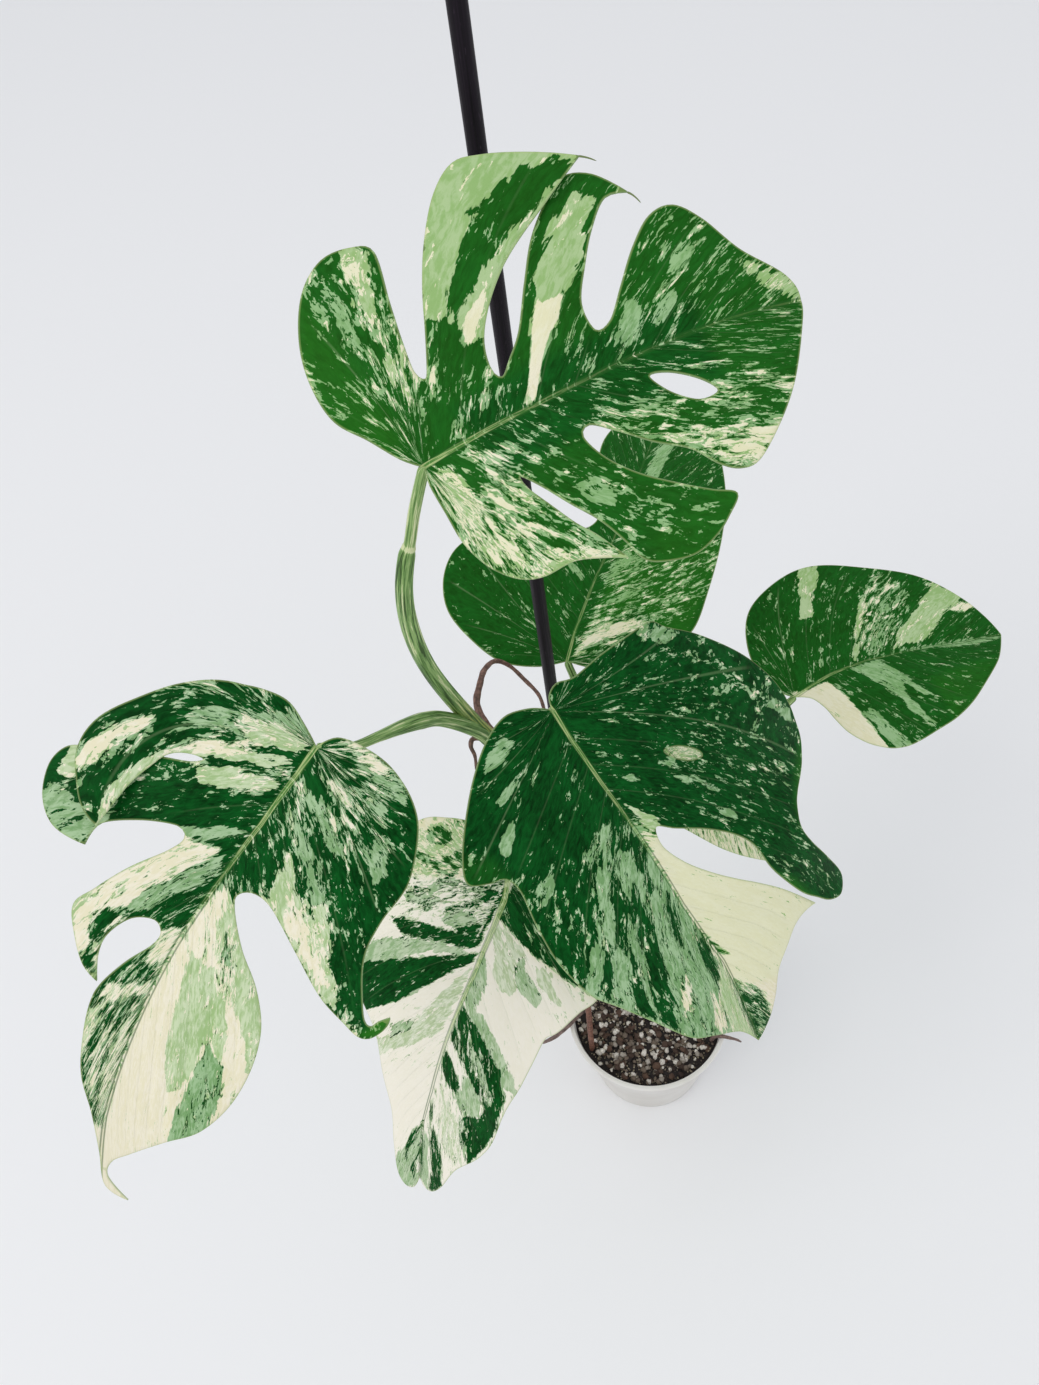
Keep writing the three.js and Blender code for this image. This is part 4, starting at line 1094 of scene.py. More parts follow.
def relief(along, veins, across, from_margin):
    """How far the upper and the lower face lie above and below the blade's middle.

    The quilting is a sine of the vein's number, flattened, and fades at the midrib and the margin.
    Groove and ridge are bell curves of the distance across; the ridge grows towards the stalk.
    """
    quilt = QUILT_HEIGHT * np.abs(np.sin(np.pi * veins[:, 0] / VEIN_SPACING)) ** 0.7
    quilt *= fade(np.abs(across), 2, 14) * fade(from_margin, 0, 12)
    groove = -GROOVE_DEPTH * np.exp(-(across / GROOVE_WIDTH) ** 2)
    ridge_height = RIDGE_LEAST + RIDGE_MORE * (1 - fade(along, 0, 1))
    ridge = ridge_height * np.exp(-(across / (0.8 + ridge_height)) ** 2) * fade(from_margin, 0, 3)
    return BLADE_THICKNESS / 2 + quilt + groove, BLADE_THICKNESS / 2 - quilt + ridge


print("a blade is", BLADE_THICKNESS, "mm thick")

# %% [markdown]
# ## The rim of a blade
#
# A leaf's margin is round, not cut. So a ring of points a little outside the outline joins the two
# faces. The edges that only one triangle has say where the margin is.

# %% The rim of a blade
EDGE_ROUND = 0.3


def free_edges(triangles):
    """The edges that only one triangle has, each in that triangle's direction."""
    pairs = np.vstack([triangles[:, [0, 1]], triangles[:, [1, 2]], triangles[:, [2, 0]]])
    _, place, count = np.unique(np.sort(pairs, axis=1), axis=0, return_inverse=True, return_counts=True)
    return pairs[count[place.ravel()] == 1]


def blade_rim(middle, normal, triangles):
    """The rim's points, the numbers of the margin's points that they belong to, and the faces.

    Outward at a point is the sum of its two free edges' directions crossed with the normal. The
    upper face's points come first, then the lower face's and then the rim's.
    """
    rim_edges = free_edges(triangles)
    a, b = rim_edges.T
    sides = np.cross(middle[b] - middle[a], normal[a])
    outward = np.zeros_like(middle)
    np.add.at(outward, a, sides)
    np.add.at(outward, b, sides)
    on_rim = np.unique(rim_edges)
    outward = outward[on_rim] / np.linalg.norm(outward[on_rim], axis=1)[:, None]
    count = len(middle)
    index = np.zeros(count, int)
    index[on_rim] = 2 * count + np.arange(len(on_rim))
    quads = np.vstack([np.stack([b, a, index[a], index[b]], axis=1),
                       np.stack([a + count, b + count, index[b], index[a]], axis=1)])
    return middle[on_rim] + outward * EDGE_ROUND, on_rim, quads


print("one triangle has", len(free_edges(np.array([[0, 1, 2]]))), "free edges")

# %% [markdown]
# ## From a flat outline to a finished blade
#
# The bent grid is the middle of the blade, and the two faces and the rim lie round it. Each point
# takes along what the marbling will ask for, such as how deep it is in the layers.

# %% From a flat outline to a finished blade
RIB_LEAST = 0.35


def blade_values(name, flat, across, from_margin):
    """The attributes of a leaf, each a number at every flat point."""
    sage, pale = two_layers(name, flat)
    along = flat[:, 0] / LEAVES[name]["length"]
    rib = RIB_LEAST + RIB_WIDTHS[name] * (1 - fade(along, 0, 0.8)) ** 1.5
    return {
        "sage": sage, "pale": pale, "across": across, "margin": from_margin, "along": along, "rib": rib,
        "flecks": soft_areas(FLECKS[name], flat), "bright": soft_areas(BRIGHT[name], flat),
    }


def make_leaf(name, materials):
    """A leaf as one closed skin: upper face, lower face and rim, with the marbling's values."""
    leaf = LEAVES[name]
    loops = [smooth_outline(loop, GRID) for loop in [leaf["outline"], *leaf["holes"]]]
    flat, triangles = fill_flat(loops, GRID)
    middle = bend(leaf, flat)
    normal = vertex_normals(middle, triangles)
    veins, across = vein_coordinates(name, flat)
    from_margin = np.min([distance(flat, loop) for loop in loops], axis=0)
    above, below = relief(flat[:, 0] / leaf["length"], veins, across, from_margin)
    rim, on_rim, quads = blade_rim(middle, normal, triangles)
    points = np.vstack([middle + normal * above[:, None], middle - normal * below[:, None], rim])
    faces = [triangles, triangles[:, ::-1] + len(flat), quads]
    under = np.concatenate([np.zeros(len(triangles)), np.ones(len(triangles) + len(quads))])
    source = np.concatenate([np.arange(len(flat)), np.arange(len(flat)), on_rim])
    values = blade_values(name, flat, across, from_margin)
    return make_piece(name, points, faces, materials, [name],
                      {key: value[source] for key, value in values.items()},
                      {"veins": veins[source] / UV_UNIT}, under.astype(np.int32))


print("the low leaf's midrib is", 2 * (RIB_LEAST + RIB_WIDTHS["low_leaf"]), "mm wide at the stalk")

# %% [markdown]
# ## Streaks that follow the veins
#
# A leaf's cells divide in rows, so its colours come in streaks. A noise that is stretched along the
# vein gives them. No real streak is straight, so a wide noise first moves the coordinates.

# %% Streaks that follow the veins
WANDER_CELLS = (15, 7, 1)
WANDER_REACH = (0.05, 0.09, 0)


def streaks(tree, veins, width, length, seed, detail=2.0):
    """Noise in cells of a width and a length in millimetres that lie along the side veins."""
    stretch = {0: veins, 1: (UV_UNIT / width, UV_UNIT / length, 0), 2: (0, 0, seed)}
    stretched = add(tree, "VectorMath", stretch, operation="MULTIPLY_ADD").outputs[0]
    return noise(tree, stretched, 1, detail, 0.6)


def wandering(tree, veins):
    """Vein coordinates moved a few millimetres by a wide noise."""
    wide = {"Vector": scaled(tree, veins, WANDER_CELLS), "Scale": 1, "Detail": 3}
    both_ways = {0: add(tree, "TexNoise", wide).outputs[1], 1: (0.5, 0.5, 0.5)}
    shift = add(tree, "VectorMath", both_ways, operation="SUBTRACT").outputs[0]
    moved = {0: shift, 1: WANDER_REACH, 2: veins}
    return add(tree, "VectorMath", moved, operation="MULTIPLY_ADD").outputs[0]


print("streaks wander by up to", max(WANDER_REACH) * UV_UNIT / 2, "mm")

# %% [markdown]
# ## Where each layer shows
#
# Each layer's edge is the place where its distance is zero. Adding a streaky noise to the distance
# before it is cut makes the edge run out in tongues along the veins, wide and jagged where the
# layers slid, and a crisp cut keeps the four colours apart as paint would not. Flecks are single
# cell lines that switched sides: a finer noise that turns a layer on inside the off and off inside
# the on.

# %% Where each layer shows
TONGUES = (3.4, 14, 11.0)  # a streak's width and length, and how far it moves the edge in all
FRAYS = (0.8, 3, 3.6)


def either(tree, first, second):
    """One or the other but not both: the sum less twice the product."""
    return times_plus(tree, times(tree, first, second), -2.0, maths(tree, "ADD", first, second))


def edge_shift(tree, veins, kind, seed):
    """How far a kind of streak moves an edge, as much inwards as outwards."""
    width, length, reach = kind
    return times_plus(tree, streaks(tree, veins, width, length, seed, 3), reach, -reach / 2)


def fleck_limit(tree, veins, flecked):
    """The noise above which a cell line switches sides. A wide noise gathers the flecks, and where
    there are to be none the limit is out of reach."""
    shift = maths(tree, "SUBTRACT", flecked, 1.8)
    gather = times_plus(tree, streaks(tree, veins, 7, 20, 1, 3), 3.6, shift)
    some, none = times_plus(tree, gather, -0.1, 0.61), maths(tree, "SUBTRACT", 0.8, gather)
    return maths(tree, "MAXIMUM", some, none)


def layer_masks(tree, veins):
    """1 where the sage layer shows and where the pale one does, each with streaks of its own."""
    flecked = attribute(tree, "flecks")
    limit = fleck_limit(tree, veins, flecked)
    ragged = maths(tree, "ADD", flecked, 0.45)
    islands = streaks(tree, veins, 2.8, 9, 2, 5)
    masks = []
    for k, layer in enumerate(("sage", "pale")):
        tongues, frays = edge_shift(tree, veins, TONGUES, 10 + k), edge_shift(tree, veins, FRAYS, 20 + k)
        waver = times(tree, maths(tree, "ADD", tongues, frays), ragged)
        solid = rise(tree, maths(tree, "ADD", attribute(tree, layer), waver), -0.2, 0.2)
        lines = streaks(tree, veins, 0.9, 12, 30 + 7 * k, 3)
        breaks = streaks(tree, veins, 0.8, 2.2, 33 + 7 * k, 4)
        cells = mix_values(tree, 0.48, mix_values(tree, 0.5, lines, breaks), islands)
        over = maths(tree, "SUBTRACT", cells, maths(tree, "ADD", limit, 0.05 * k))
        masks.append(either(tree, solid, rise(tree, over, 0, 0.01)))
    return masks


print("tongues move an edge by up to", TONGUES[2] / 2, "mm, and frays by", FRAYS[2] / 2, "mm")

# %% [markdown]
# ## The four colours
#
# None of the four is flat: each wanders between two shades, in patches and in threads. Where the
# leaf is young it is brighter, and where the blade catches the light it looks milky.

# %% The four colours
SHADES = {  # two shades, and the young one
    "dark green": ("#002705", "#0b5a1f", "#2c7419"), "grey-green": ("#77a169", "#a4c497", "#86b56c"),
    "yellow-green": ("#a0bf82", "#c9dab0", "#82b05c"), "cream": ("#e9e2bf", "#f2ebd3", "#e5e8c0"),
}
MILKY = {  # two shades
    "grey-green": ("#9cb88a", "#ccd8ba"), "yellow-green": ("#bdcba4", "#e3e6d2"),
    "cream": ("#f6f1e6", "#f6f1e6"),
}


def shaded(tree, name, tint, young, milky, clouds):
    """One of the four: between its two shades by tint, then its young and its milky shade."""
    first, second, bright = (colour(code) for code in SHADES[name])
    painted = mix(tree, young, mix(tree, tint, first, second), bright)
    if name in MILKY:
        painted = mix(tree, milky, painted, mix_pair(tree, clouds, MILKY[name]))
    return painted


def four_colours(tree, veins, shade):
    """The marbled colour: neither layer, the sage one, the pale one or both."""
    sage, pale = layer_masks(tree, veins)
    thread = streaks(tree, veins, 1.4, 5, 43, 5)
    mottle = mix_values(tree, 0.6, shade, thread)
    tint = rise(tree, mottle, 0.43, 0.57)
    brightness = attribute(tree, "bright")
    young = times(tree, maths(tree, "MAXIMUM", brightness, 0), times_plus(tree, thread, 0.8, 0.6))
    milky = maths(tree, "MAXIMUM", times(tree, brightness, -1), 0)
    clouds = rise(tree, mix_values(tree, 0.5, streaks(tree, veins, 5, 11, 46, 4), thread), 0.44, 0.56)
    dark = shaded(tree, "dark green", rise(tree, mottle, 0.3, 0.7), young, milky, clouds)
    grey_green = shaded(tree, "grey-green", tint, young, milky, clouds)
    yellow_green = shaded(tree, "yellow-green", tint, young, milky, clouds)
    cream = shaded(tree, "cream", tint, young, milky, clouds)
    return mix(tree, pale, mix(tree, sage, dark, grey_green), mix(tree, sage, yellow_green, cream))


print("the four colours are", *SHADES)

# %% [markdown]
# ## Veins, midrib and margin
#
# The side veins are hardly paler than the blade. The midrib is a band of fine pale lines between
# two dark lines of painted shadow from its groove, and the margin is a thin pale line. Each is
# painted over the marbling where its distance is small.

# %% Veins, midrib and margin
VEIN_COLOUR, MARGIN_COLOUR, RIB_SHADOW = "#a9c38f", "#b4c67e", "#265a22"
RIB_COLOURS = ("#5d8f45", "#c6d693")


def side_vein(tree, along_rib):
    """1 on a side vein and 0 between two, gone towards the margin."""
    turn = maths(tree, "FRACT", times_plus(tree, along_rib, UV_UNIT / VEIN_SPACING, 0.5))
    away = times(tree, maths(tree, "ABSOLUTE", maths(tree, "SUBTRACT", turn, 0.5)), VEIN_SPACING)
    return times(tree, rise(tree, away, 0.6, 0.1), rise(tree, attribute(tree, "margin"), 2.0, 12.0))


def paint_midrib(tree, painted):
    """Painted shadow beside the midrib, then the midrib itself, both stronger where it is wide."""
    across, rib = attribute(tree, "across"), attribute(tree, "rib")
    past_rib = maths(tree, "SUBTRACT", maths(tree, "ABSOLUTE", across), rib)
    wide = rise(tree, rib, 0.45, 1.1)
    beside = times(tree, rise(tree, past_rib, -0.2, 0.1), rise(tree, past_rib, 0.9, 0.5))
    shadow = times(tree, beside, times_plus(tree, wide, -0.2, 0.65))
    painted = mix(tree, shadow, painted, colour(RIB_SHADOW))
    place = {0: across, 1: times(tree, attribute(tree, "along"), 9)}
    lines = noise(tree, add(tree, "CombineXYZ", place).outputs[0], 1.8, 2)
    rib_colour = mix_pair(tree, rise(tree, lines, 0.44, 0.56), RIB_COLOURS)
    on_rib = times(tree, rise(tree, past_rib, 0.15, -0.15), times_plus(tree, wide, 0.65, 0.1))
    return mix(tree, on_rib, painted, rib_colour)


def make_marbling():
    """The group that both faces share: the painted colour, a height for the bump and a roughness."""
    outputs = [("Colour", "Color"), ("Height", "Float"), ("Sheen", "Float")]
    tree, result = new_group("marbling", outputs)
    plain_veins = uv(tree, "veins")
    veins = wandering(tree, plain_veins)
    shade = streaks(tree, veins, 9, 24, 40, 3)
    painted = four_colours(tree, veins, shade)
    along_rib = add(tree, "SeparateXYZ", {0: plain_veins}).outputs[0]
    vein = side_vein(tree, along_rib)
    by_stalk = times_plus(tree, rise(tree, along_rib, 0.09, 0.05), 0.1, 0.06)
    painted = mix(tree, times(tree, vein, by_stalk), painted, colour(VEIN_COLOUR))
    painted = paint_midrib(tree, painted)
    edge = rise(tree, attribute(tree, "margin"), 0.6, 0.1)
    painted = mix(tree, times(tree, edge, 0.35), painted, colour(MARGIN_COLOUR))
    grain = streaks(tree, veins, 0.7, 1.6, 50, 3)
    tree.links.new(painted, result["Colour"])
    tree.links.new(times_plus(tree, vein, -0.8, grain), result["Height"])
    sheen = times_plus(tree, shade, 0.14, times_plus(tree, grain, 0.1, 0.3))
    tree.links.new(sheen, result["Sheen"])
    print("the marbling has", len(tree.nodes), "nodes")
    return tree


marbling = make_marbling()

# %% [markdown]
# ## The two faces of a leaf, and the leaves
#
# The lower face shows the same sectors through a pale, dull skin. So both faces use one group, and
# a veil of grey-green and a higher roughness make the lower one.

# %% The two faces of a leaf, and the leaves
UNDER_VEIL = "#9db58e"
LEAF_SLOTS = {
    "top_leaf": "leaf_marbled", "middle_leaf": "leaf_dark", "left_leaf": "leaf_pale",
    "low_leaf": "leaf_pale", "back_leaf": "leaf_green", "right_leaf": "leaf_green",
    "hidden_leaf": "leaf_cream",
}


def leaf_material(name, veil, duller):
    """The marbling under a veil from 0 to 1, with its roughness raised by duller."""
    material, tree, shader = new_material(name)
    pattern = add(tree, "Group", node_tree=marbling).outputs
    painted = pattern["Colour"]
    if veil:
        painted = mix(tree, veil, painted, colour(UNDER_VEIL))
    roughness = maths(tree, "ADD", pattern["Sheen"], duller)
    feed(tree, shader, painted, roughness, bump(tree, pattern["Height"], 0.5, 0.0004))
    shader.inputs["Specular IOR Level"].default_value = 0.04
    return material


upper_and_under = [leaf_material("leaf_upper", 0.0, 0.0), leaf_material("leaf_under", 0.38, 0.18)]
for leaf_name, leaf_slot in LEAF_SLOTS.items():
    make_leaf(leaf_name, upper_and_under)

# %% [markdown]
# ## Stem, stalks, roots and stake
#
# All of these are round and bent, and their thickness changes. A smooth curve is led through a few
# points, each an x,y,z and a radius, and rings of points are set round it. The rings must not twist,
# so their directions are measured from one fixed direction that the curve never points in.

# %% Where they run
STEM = [
    [-26,24,60, 7.5], [-29,27,118, 8], [-40,20,200, 7.5], [-54,27,285, 7.5], [-57,34,400, 7],
    [-63,24,520, 7], [-73,5,590, 6.5], [-78,-6,610, 5],
]
STALKS = {
    "top_leaf": [
        [-77,-5,608, 4.5], [-83,-13,628, 4.5], [-93,-15,658, 4.3], [-103,-19,701, 4], [-105,-26,739, 3.9],
        [-102,-33,772, 3.5], [-97,-34,792, 3.2], [-95,-34,797, 2.2], [-90,-35,814, 2.2],
        [-82.4,-37.7,836.6, 2],
    ],
    "left_leaf": [
        [-77,-5,602, 4.5], [-82,-13,624, 4.5], [-88,-16,641, 4.3], [-104,-25,669, 3.9], [-112,-33,681, 4.2],
        [-121,-42,691, 3.4], [-129,-51,700, 2.6], [-140,-61,710, 2.1], [-152.4,-66.4,722.1, 1.9],
    ],
    "middle_leaf": [
        [-64,24,525, 5], [-59,9,575, 4.8], [-54,-15,630, 4], [-51,-35,668, 3], [-49.9,-45.7,687.7, 2.5],
    ],
    "low_leaf": [
        [-58,35,395, 4.8], [-67,19,440, 4.5], [-80,-5,478, 3.6], [-88,-23,494, 2.8],
        [-91.3,-32.7,498.2, 2.5],
    ],
    "back_leaf": [
        [-60,33,455, 4.5], [-45,32,480, 4.3], [-31,45,520, 3.6], [-27,59,553, 2.8], [-31.3,69.6,573.9, 2.4],
    ],
    "right_leaf": [
        [-52,26,262, 4.6], [-38,22,300, 4.5], [-22,28,350, 4.3], [0,40,400, 4], [30,52,432, 3.7],
        [62,60,448, 3.4], [92,62,472, 3], [110,60.5,495, 2.5], [115.8,59.6,504.3, 2.1],
    ],
    "hidden_leaf": [
        [-56,30,345, 4.2], [-33,29,385, 3.8], [-5,45,430, 3], [11,52,474, 2.4], [17.5,51.8,498.5, 2],
    ],
}
ROOTS = {
    "root_arch": [
        [-77,-2,604, 2.4], [-85,8,612, 2.1], [-88,20,615, 2], [-84,33,617, 1.8], [-80,44,614, 1.6],
        [-74,51,610, 1.4], [-67,51,604, 1.2], [-60,44,598, 1.2], [-53,33,595, 1.1], [-51,21,593, 0.9],
    ],
    "root_short": [
        [-83,-13,625, 1.3], [-92,-11.5,627, 1.3], [-94,-13,623, 1.2], [-93,-15,616, 1], [-94,-18,606, 0.7],
    ],
    "root_into_mix": [
        [-52,23,258, 2.9], [-53,7,232, 2.7], [-54,-11,190, 2.6], [-55.5,-20,150, 2.5], [-56.4,-23,118, 2.4],
        [-57,-24,100, 2],
    ],
    "root_over_left_rim": [
        [-54,16,106, 2.4], [-56,12,122, 2.4], [-62,5,133.5, 2.3], [-69,-1,135.5, 2.2], [-77,-6,134, 2.1],
        [-87,-10,128.5, 1.9], [-97,-10.5,121, 1.6], [-103,-9,115, 1],
    ],
    "root_over_right_rim": [
        [50,-34,104, 1.8], [52,-35,120, 1.8], [55,-36.2,130, 1.8], [60,-38.5,134, 1.7], [66,-41,134.2, 1.5],
        [72,-43,132, 1.1], [76,-44.5,128, 0.7],
    ],
}
STAKE = [[-45.7,28.2,55, 3.8], [-44.3,49.1,515, 3.8], [-42.9,70,971.5, 3.8], [-42.9,70,975, 3.6]]

print(len(STALKS), "stalks and", len(ROOTS), "aerial roots on one stem")

# %% [markdown]
# ## Rings and bands
#
# A tube, the pot's wall and the mix are all rings of points with four-sided faces between them. The
# last point of a ring joins the first, so the skin has no seam.

# %% Rings and bands
def circle(sides):
    """Points on a circle of radius 1, as cosine and sine."""
    angle = np.arange(sides) * 2 * np.pi / sides
    return np.stack([np.cos(angle), np.sin(angle)], axis=1)


def band(rows, sides):
    """The number of each point in rows of closed rings, the same turned by one, and the faces."""
    grid = np.arange(rows * sides).reshape(rows, sides)
    turned = np.roll(grid, -1, axis=1)
    return grid, turned, np.stack([grid[:-1], turned[:-1], turned[1:], grid[1:]], axis=-1).reshape(-1, 4)


print("two rings of 4 points have", len(band(2, 4)[2]), "faces between them")

# %% [markdown]
# ## From a few points to a round body
#
# A Catmull-Rom curve passes through all its points, and the centripetal kind makes no loops where
# they lie close together. A ring of points is set square to it at each cut. Towards both ends the
# rings shrink as a ball's do, so the ends are round.

# %% From a few points to a round body
CUTS_BETWEEN = 24
END_LEAST = 0.09  # the square of the smallest ring's share of the radius


def smooth_run(points, step):
    """Even cuts along a centripetal Catmull-Rom curve, with the radius and the length so far."""
    points = np.array(points, float)
    ends = np.vstack([2 * points[0] - points[1], points, 2 * points[-1] - points[-2]])
    gaps = np.sqrt(np.linalg.norm(np.diff(ends[:, :3], axis=0), axis=1))
    t = np.arange(CUTS_BETWEEN)[:, None] / CUTS_BETWEEN
    fine = []
    for k in range(1, len(ends) - 2):
        before, here, after = gaps[k - 1:k + 2]
        p = ends[k - 1:k + 3, :3]
        start = ((p[1] - p[0]) / before - (p[2] - p[0]) / (before + here) + (p[2] - p[1]) / here) * here
        finish = ((p[2] - p[1]) / here - (p[3] - p[1]) / (here + after) + (p[3] - p[2]) / after) * here
        radius = ends[k, 3] + t * (ends[k + 1, 3] - ends[k, 3])
        fine.append(np.hstack([cubic(t, p[1], start, p[2], finish), radius]))
    fine = np.vstack([*fine, points[-1]])
    length = np.concatenate([[0], np.cumsum(np.linalg.norm(np.diff(fine[:, :3], axis=0), axis=1))])
    cuts = np.linspace(0, length[-1], max(3, round(length[-1] / step)) + 1)
    return np.stack([np.interp(cuts, length, fine[:, k]) for k in range(4)], axis=1), cuts


def ring_sides(run):
    """Two directions square to the curve at each cut. Both are measured from the one direction that
    the curve points in least, so the rings don't twist."""
    tangent = np.gradient(run[:, :3], axis=0)
    tangent /= np.linalg.norm(tangent, axis=1)[:, None]
    side = np.cross(tangent, np.linalg.svd(tangent)[2][2])
    side /= np.linalg.norm(side, axis=1)[:, None]
    return side, np.cross(tangent, side)


def tube(points, sides, step, relief_at=None):
    """A closed tube. relief_at(angle, length, radius) is a height at each point, in millimetres.

    Returns the points, the two blocks of faces, the angle as a cosine and a sine, and the length.
    """
    run, cuts = smooth_run(points, step)
    side, other = ring_sides(run)
    angle = np.arange(sides) * 2 * np.pi / sides
    radius = np.tile(run[:, 3:4], (1, sides))
    if relief_at:
        radius = radius + relief_at(angle[None, :], cuts[:, None], radius)
    from_end = np.minimum(cuts, cuts[-1] - cuts)[:, None]
    radius = radius * np.sqrt(np.clip(1 - (1 - np.clip(from_end / run[:, 3:4], 0, 1)) ** 2, END_LEAST, 1))
    around = circle(sides)
    ring = (run[:, None, :3] + radius[..., None] * (
        around[None, :, :1] * side[:, None] + around[None, :, 1:] * other[:, None]))
    grid, turned, quads = band(len(run), sides)
    poles = grid.size + np.arange(2)
    first = np.stack([np.full(sides, poles[0]), turned[0], grid[0]], axis=1)
    last = np.stack([np.full(sides, poles[1]), grid[-1], turned[-1]], axis=1)
    return {
        "points": np.vstack([ring.reshape(-1, 3), run[[0, -1], :3]]), "quads": quads,
        "fans": np.vstack([first, last]),
        "around": np.vstack([np.tile(around, (len(run), 1)), np.zeros((2, 2))]),
        "length": np.concatenate([np.repeat(cuts, sides), cuts[[0, -1]]]),
    }


print("the stem is", round(smooth_run(STEM, 1)[1][-1]), "mm long")

# %% [markdown]
# ## Tubes as pieces
#
# The stem and its stalks grew as one, so they are one piece: their arrays are set end to end. What
# a finish has to know, such as how brown a stalk is, goes in as a number.

# %% Tubes as pieces
FACES = ("quads", "fans")


def with_values(shape, **values):
    """Adds a number, or one for each point, under each name."""
    for key, value in values.items():
        shape[key] = np.broadcast_to(np.asarray(value, float), shape["length"].shape)
    return shape


def join(parts):
    """Several tubes as one: their arrays end to end, with the faces counted on."""
    offsets = np.cumsum([0] + [len(part["points"]) for part in parts[:-1]])
    others = [key for key in parts[0] if key not in FACES]
    joined = {key: np.concatenate([part[key] for part in parts]) for key in others}
    for key in FACES:
        joined[key] = np.vstack([part[key] + offset for part, offset in zip(parts, offsets)])
    return joined


def place_tube(name, shape, material, nodes):
    """A piece from a tube, with all its values as attributes."""
    values = {key: shape[key] for key in shape if key not in ("points", "around", *FACES)}
    faces = [shape[key] for key in FACES]
    return make_piece(name, shape["points"], faces, [material], nodes, values,
                      {"around": shape["around"]})


print("a tube's faces are", " and ".join(FACES))

# %% [markdown]
# ## The finish of stem and stalks
#
# A stalk is striped lengthwise by the same layers as the leaves. A stripe that ran along a cut-open
# surface would break at the seam, so the angle is given as a cosine and a sine: the noise is read
# on a cylinder, which closes by itself.

# %% The finish of stem and stalks
STALK_GREEN = "#34521c"
STALK_STRIPES = [(0.38, "#648a47"), (0.47, "#8fb06a"), (0.57, "#d6dcab")]
STRIPE_BLUR = 0.05
STALK_YELLOW, STALK_BARK = "#cdbf5c", "#7d7a55"


def round_vector(tree, thickness, stretch):
    """Coordinates on a cylinder, where one unit along is stretch millimetres."""
    parts = add(tree, "SeparateXYZ", {0: uv(tree, "around")}).outputs
    along = times_plus(tree, attribute(tree, "length"), 1 / stretch, attribute(tree, "seed"))
    sockets = {0: times(tree, parts[0], thickness), 1: times(tree, parts[1], thickness), 2: along}
    return add(tree, "CombineXYZ", sockets).outputs[0]


def stalk_material():
    """Green, with dark and pale stripes. tint goes from dark to pale; bark and yellow are mixed in."""
    material, tree, shader = new_material("stalk")
    stripe = noise(tree, round_vector(tree, 1.5, 60), 2.1, 4, 0.6)
    tone = maths(tree, "ADD", stripe, times_plus(tree, attribute(tree, "tint"), 0.5, -0.25))
    painted = colour(STALK_GREEN)
    for start, code in STALK_STRIPES:
        painted = mix(tree, rise(tree, tone, start, start + STRIPE_BLUR), painted, colour(code))
    yellowed = times(tree, attribute(tree, "yellow"), rise(tree, tone, 0.4, 0.6))
    painted = mix(tree, yellowed, painted, colour(STALK_YELLOW))
    painted = mix(tree, attribute(tree, "bark"), painted, colour(STALK_BARK))
    grain = noise(tree, round_vector(tree, 3, 6), 2.2, 3)
    feed(tree, shader, painted, times_plus(tree, grain, 0.25, 0.38), bump(tree, grain, 0.35, 0.0006))
    shader.inputs["Specular IOR Level"].default_value = 0.3
    return material


stalk_finish = stalk_material()

# %% [markdown]
# ## The stem and its stalks
#
# The stem swells where a leaf sits and keeps a ring there. A young leaf comes out of the sheath of
# the one before it, and the sheath's dry lip stays on as a step. Both are small changes of the
# tube's radius, so they need no mesh of their own.

# %% The stem and its stalks
JOINTS = [(-52, 26, 262), (-56, 30, 345), (-58, 35, 395), (-60, 33, 455), (-64, 24, 525), (-77, -5, 604)]
STALK_TINTS = {"top_leaf": 0.47, "left_leaf": 0.5, "low_leaf": 0.56}
LIP_HEIGHT = 796
NO_LIP = -100


def make_stem():
    """The stem with a swelling 7 mm long and a ring 9 mm below it at each joint."""
    run, cuts = smooth_run(STEM, 1)
    joints = [cuts[np.argmin(np.linalg.norm(run[:, :3] - joint, axis=1))] for joint in JOINTS]

    def swelling(angle, length, radius):
        ring = sum(np.exp(-((length - joint) / 7) ** 2) + 0.7 * np.exp(-((length - joint + 9) / 1.2) ** 2)
                   for joint in joints)
        return 0.7 * ring + 0.25 * np.cos(3 * angle + length / 60)

    stem = tube(STEM, 28, 2.5, swelling)
    bark = 0.75 - 0.6 * fade(stem["points"][:, 2], 250, 560)
    return with_values(stem, tint=0.45, yellow=0, bark=bark, seed=3)


def make_stalk(name, points, number):
    """A stalk, a little oval and fluted. The top leaf's has the lip, and is yellow at its foot."""
    run, cuts = smooth_run(points, 1)
    lip = np.interp(LIP_HEIGHT, run[:, 2], cuts) if name == "top_leaf" else NO_LIP

    def fluted(angle, length, radius):
        return 0.06 * radius * np.cos(2 * angle + 1) + 0.35 * np.exp(-((length - lip) / 0.8) ** 2)

    stalk = tube(points, 20, 1.2, fluted)
    from_lip = stalk["length"] - lip
    tint = STALK_TINTS.get(name, 0.5) + 0.5 * np.exp(-(from_lip / 1.1) ** 2)
    tint = tint + 0.12 * (from_lip > 0) * (lip > 0)
    yellow = 0.85 * (1 - fade(stalk["length"], 30, 75)) * (name == "top_leaf")
    return with_values(stalk, tint=tint, yellow=yellow, bark=0, seed=10 + 7 * number)


stalks = [make_stalk(name, points, number) for number, (name, points) in enumerate(STALKS.items())]
place_tube("stem_and_stalks", join([make_stem(), *stalks]), stalk_finish, ["stem_and_petioles"])

# %% [markdown]
# ## The dry threads of the top leaf
#
# Two of its lobes end in a dry thread that hangs a little. Each is led on from the lobe's own tip,
# in the lobe's direction, so it can't come off the leaf.

# %% The dry threads of the top leaf
THREADS = [  # the tip and a point before it on the flat leaf, the length and how far the end sags
    ([85, 71], [78, 74], 6, 1),
    ([99, 50], [96, 53], 5, 2),
]


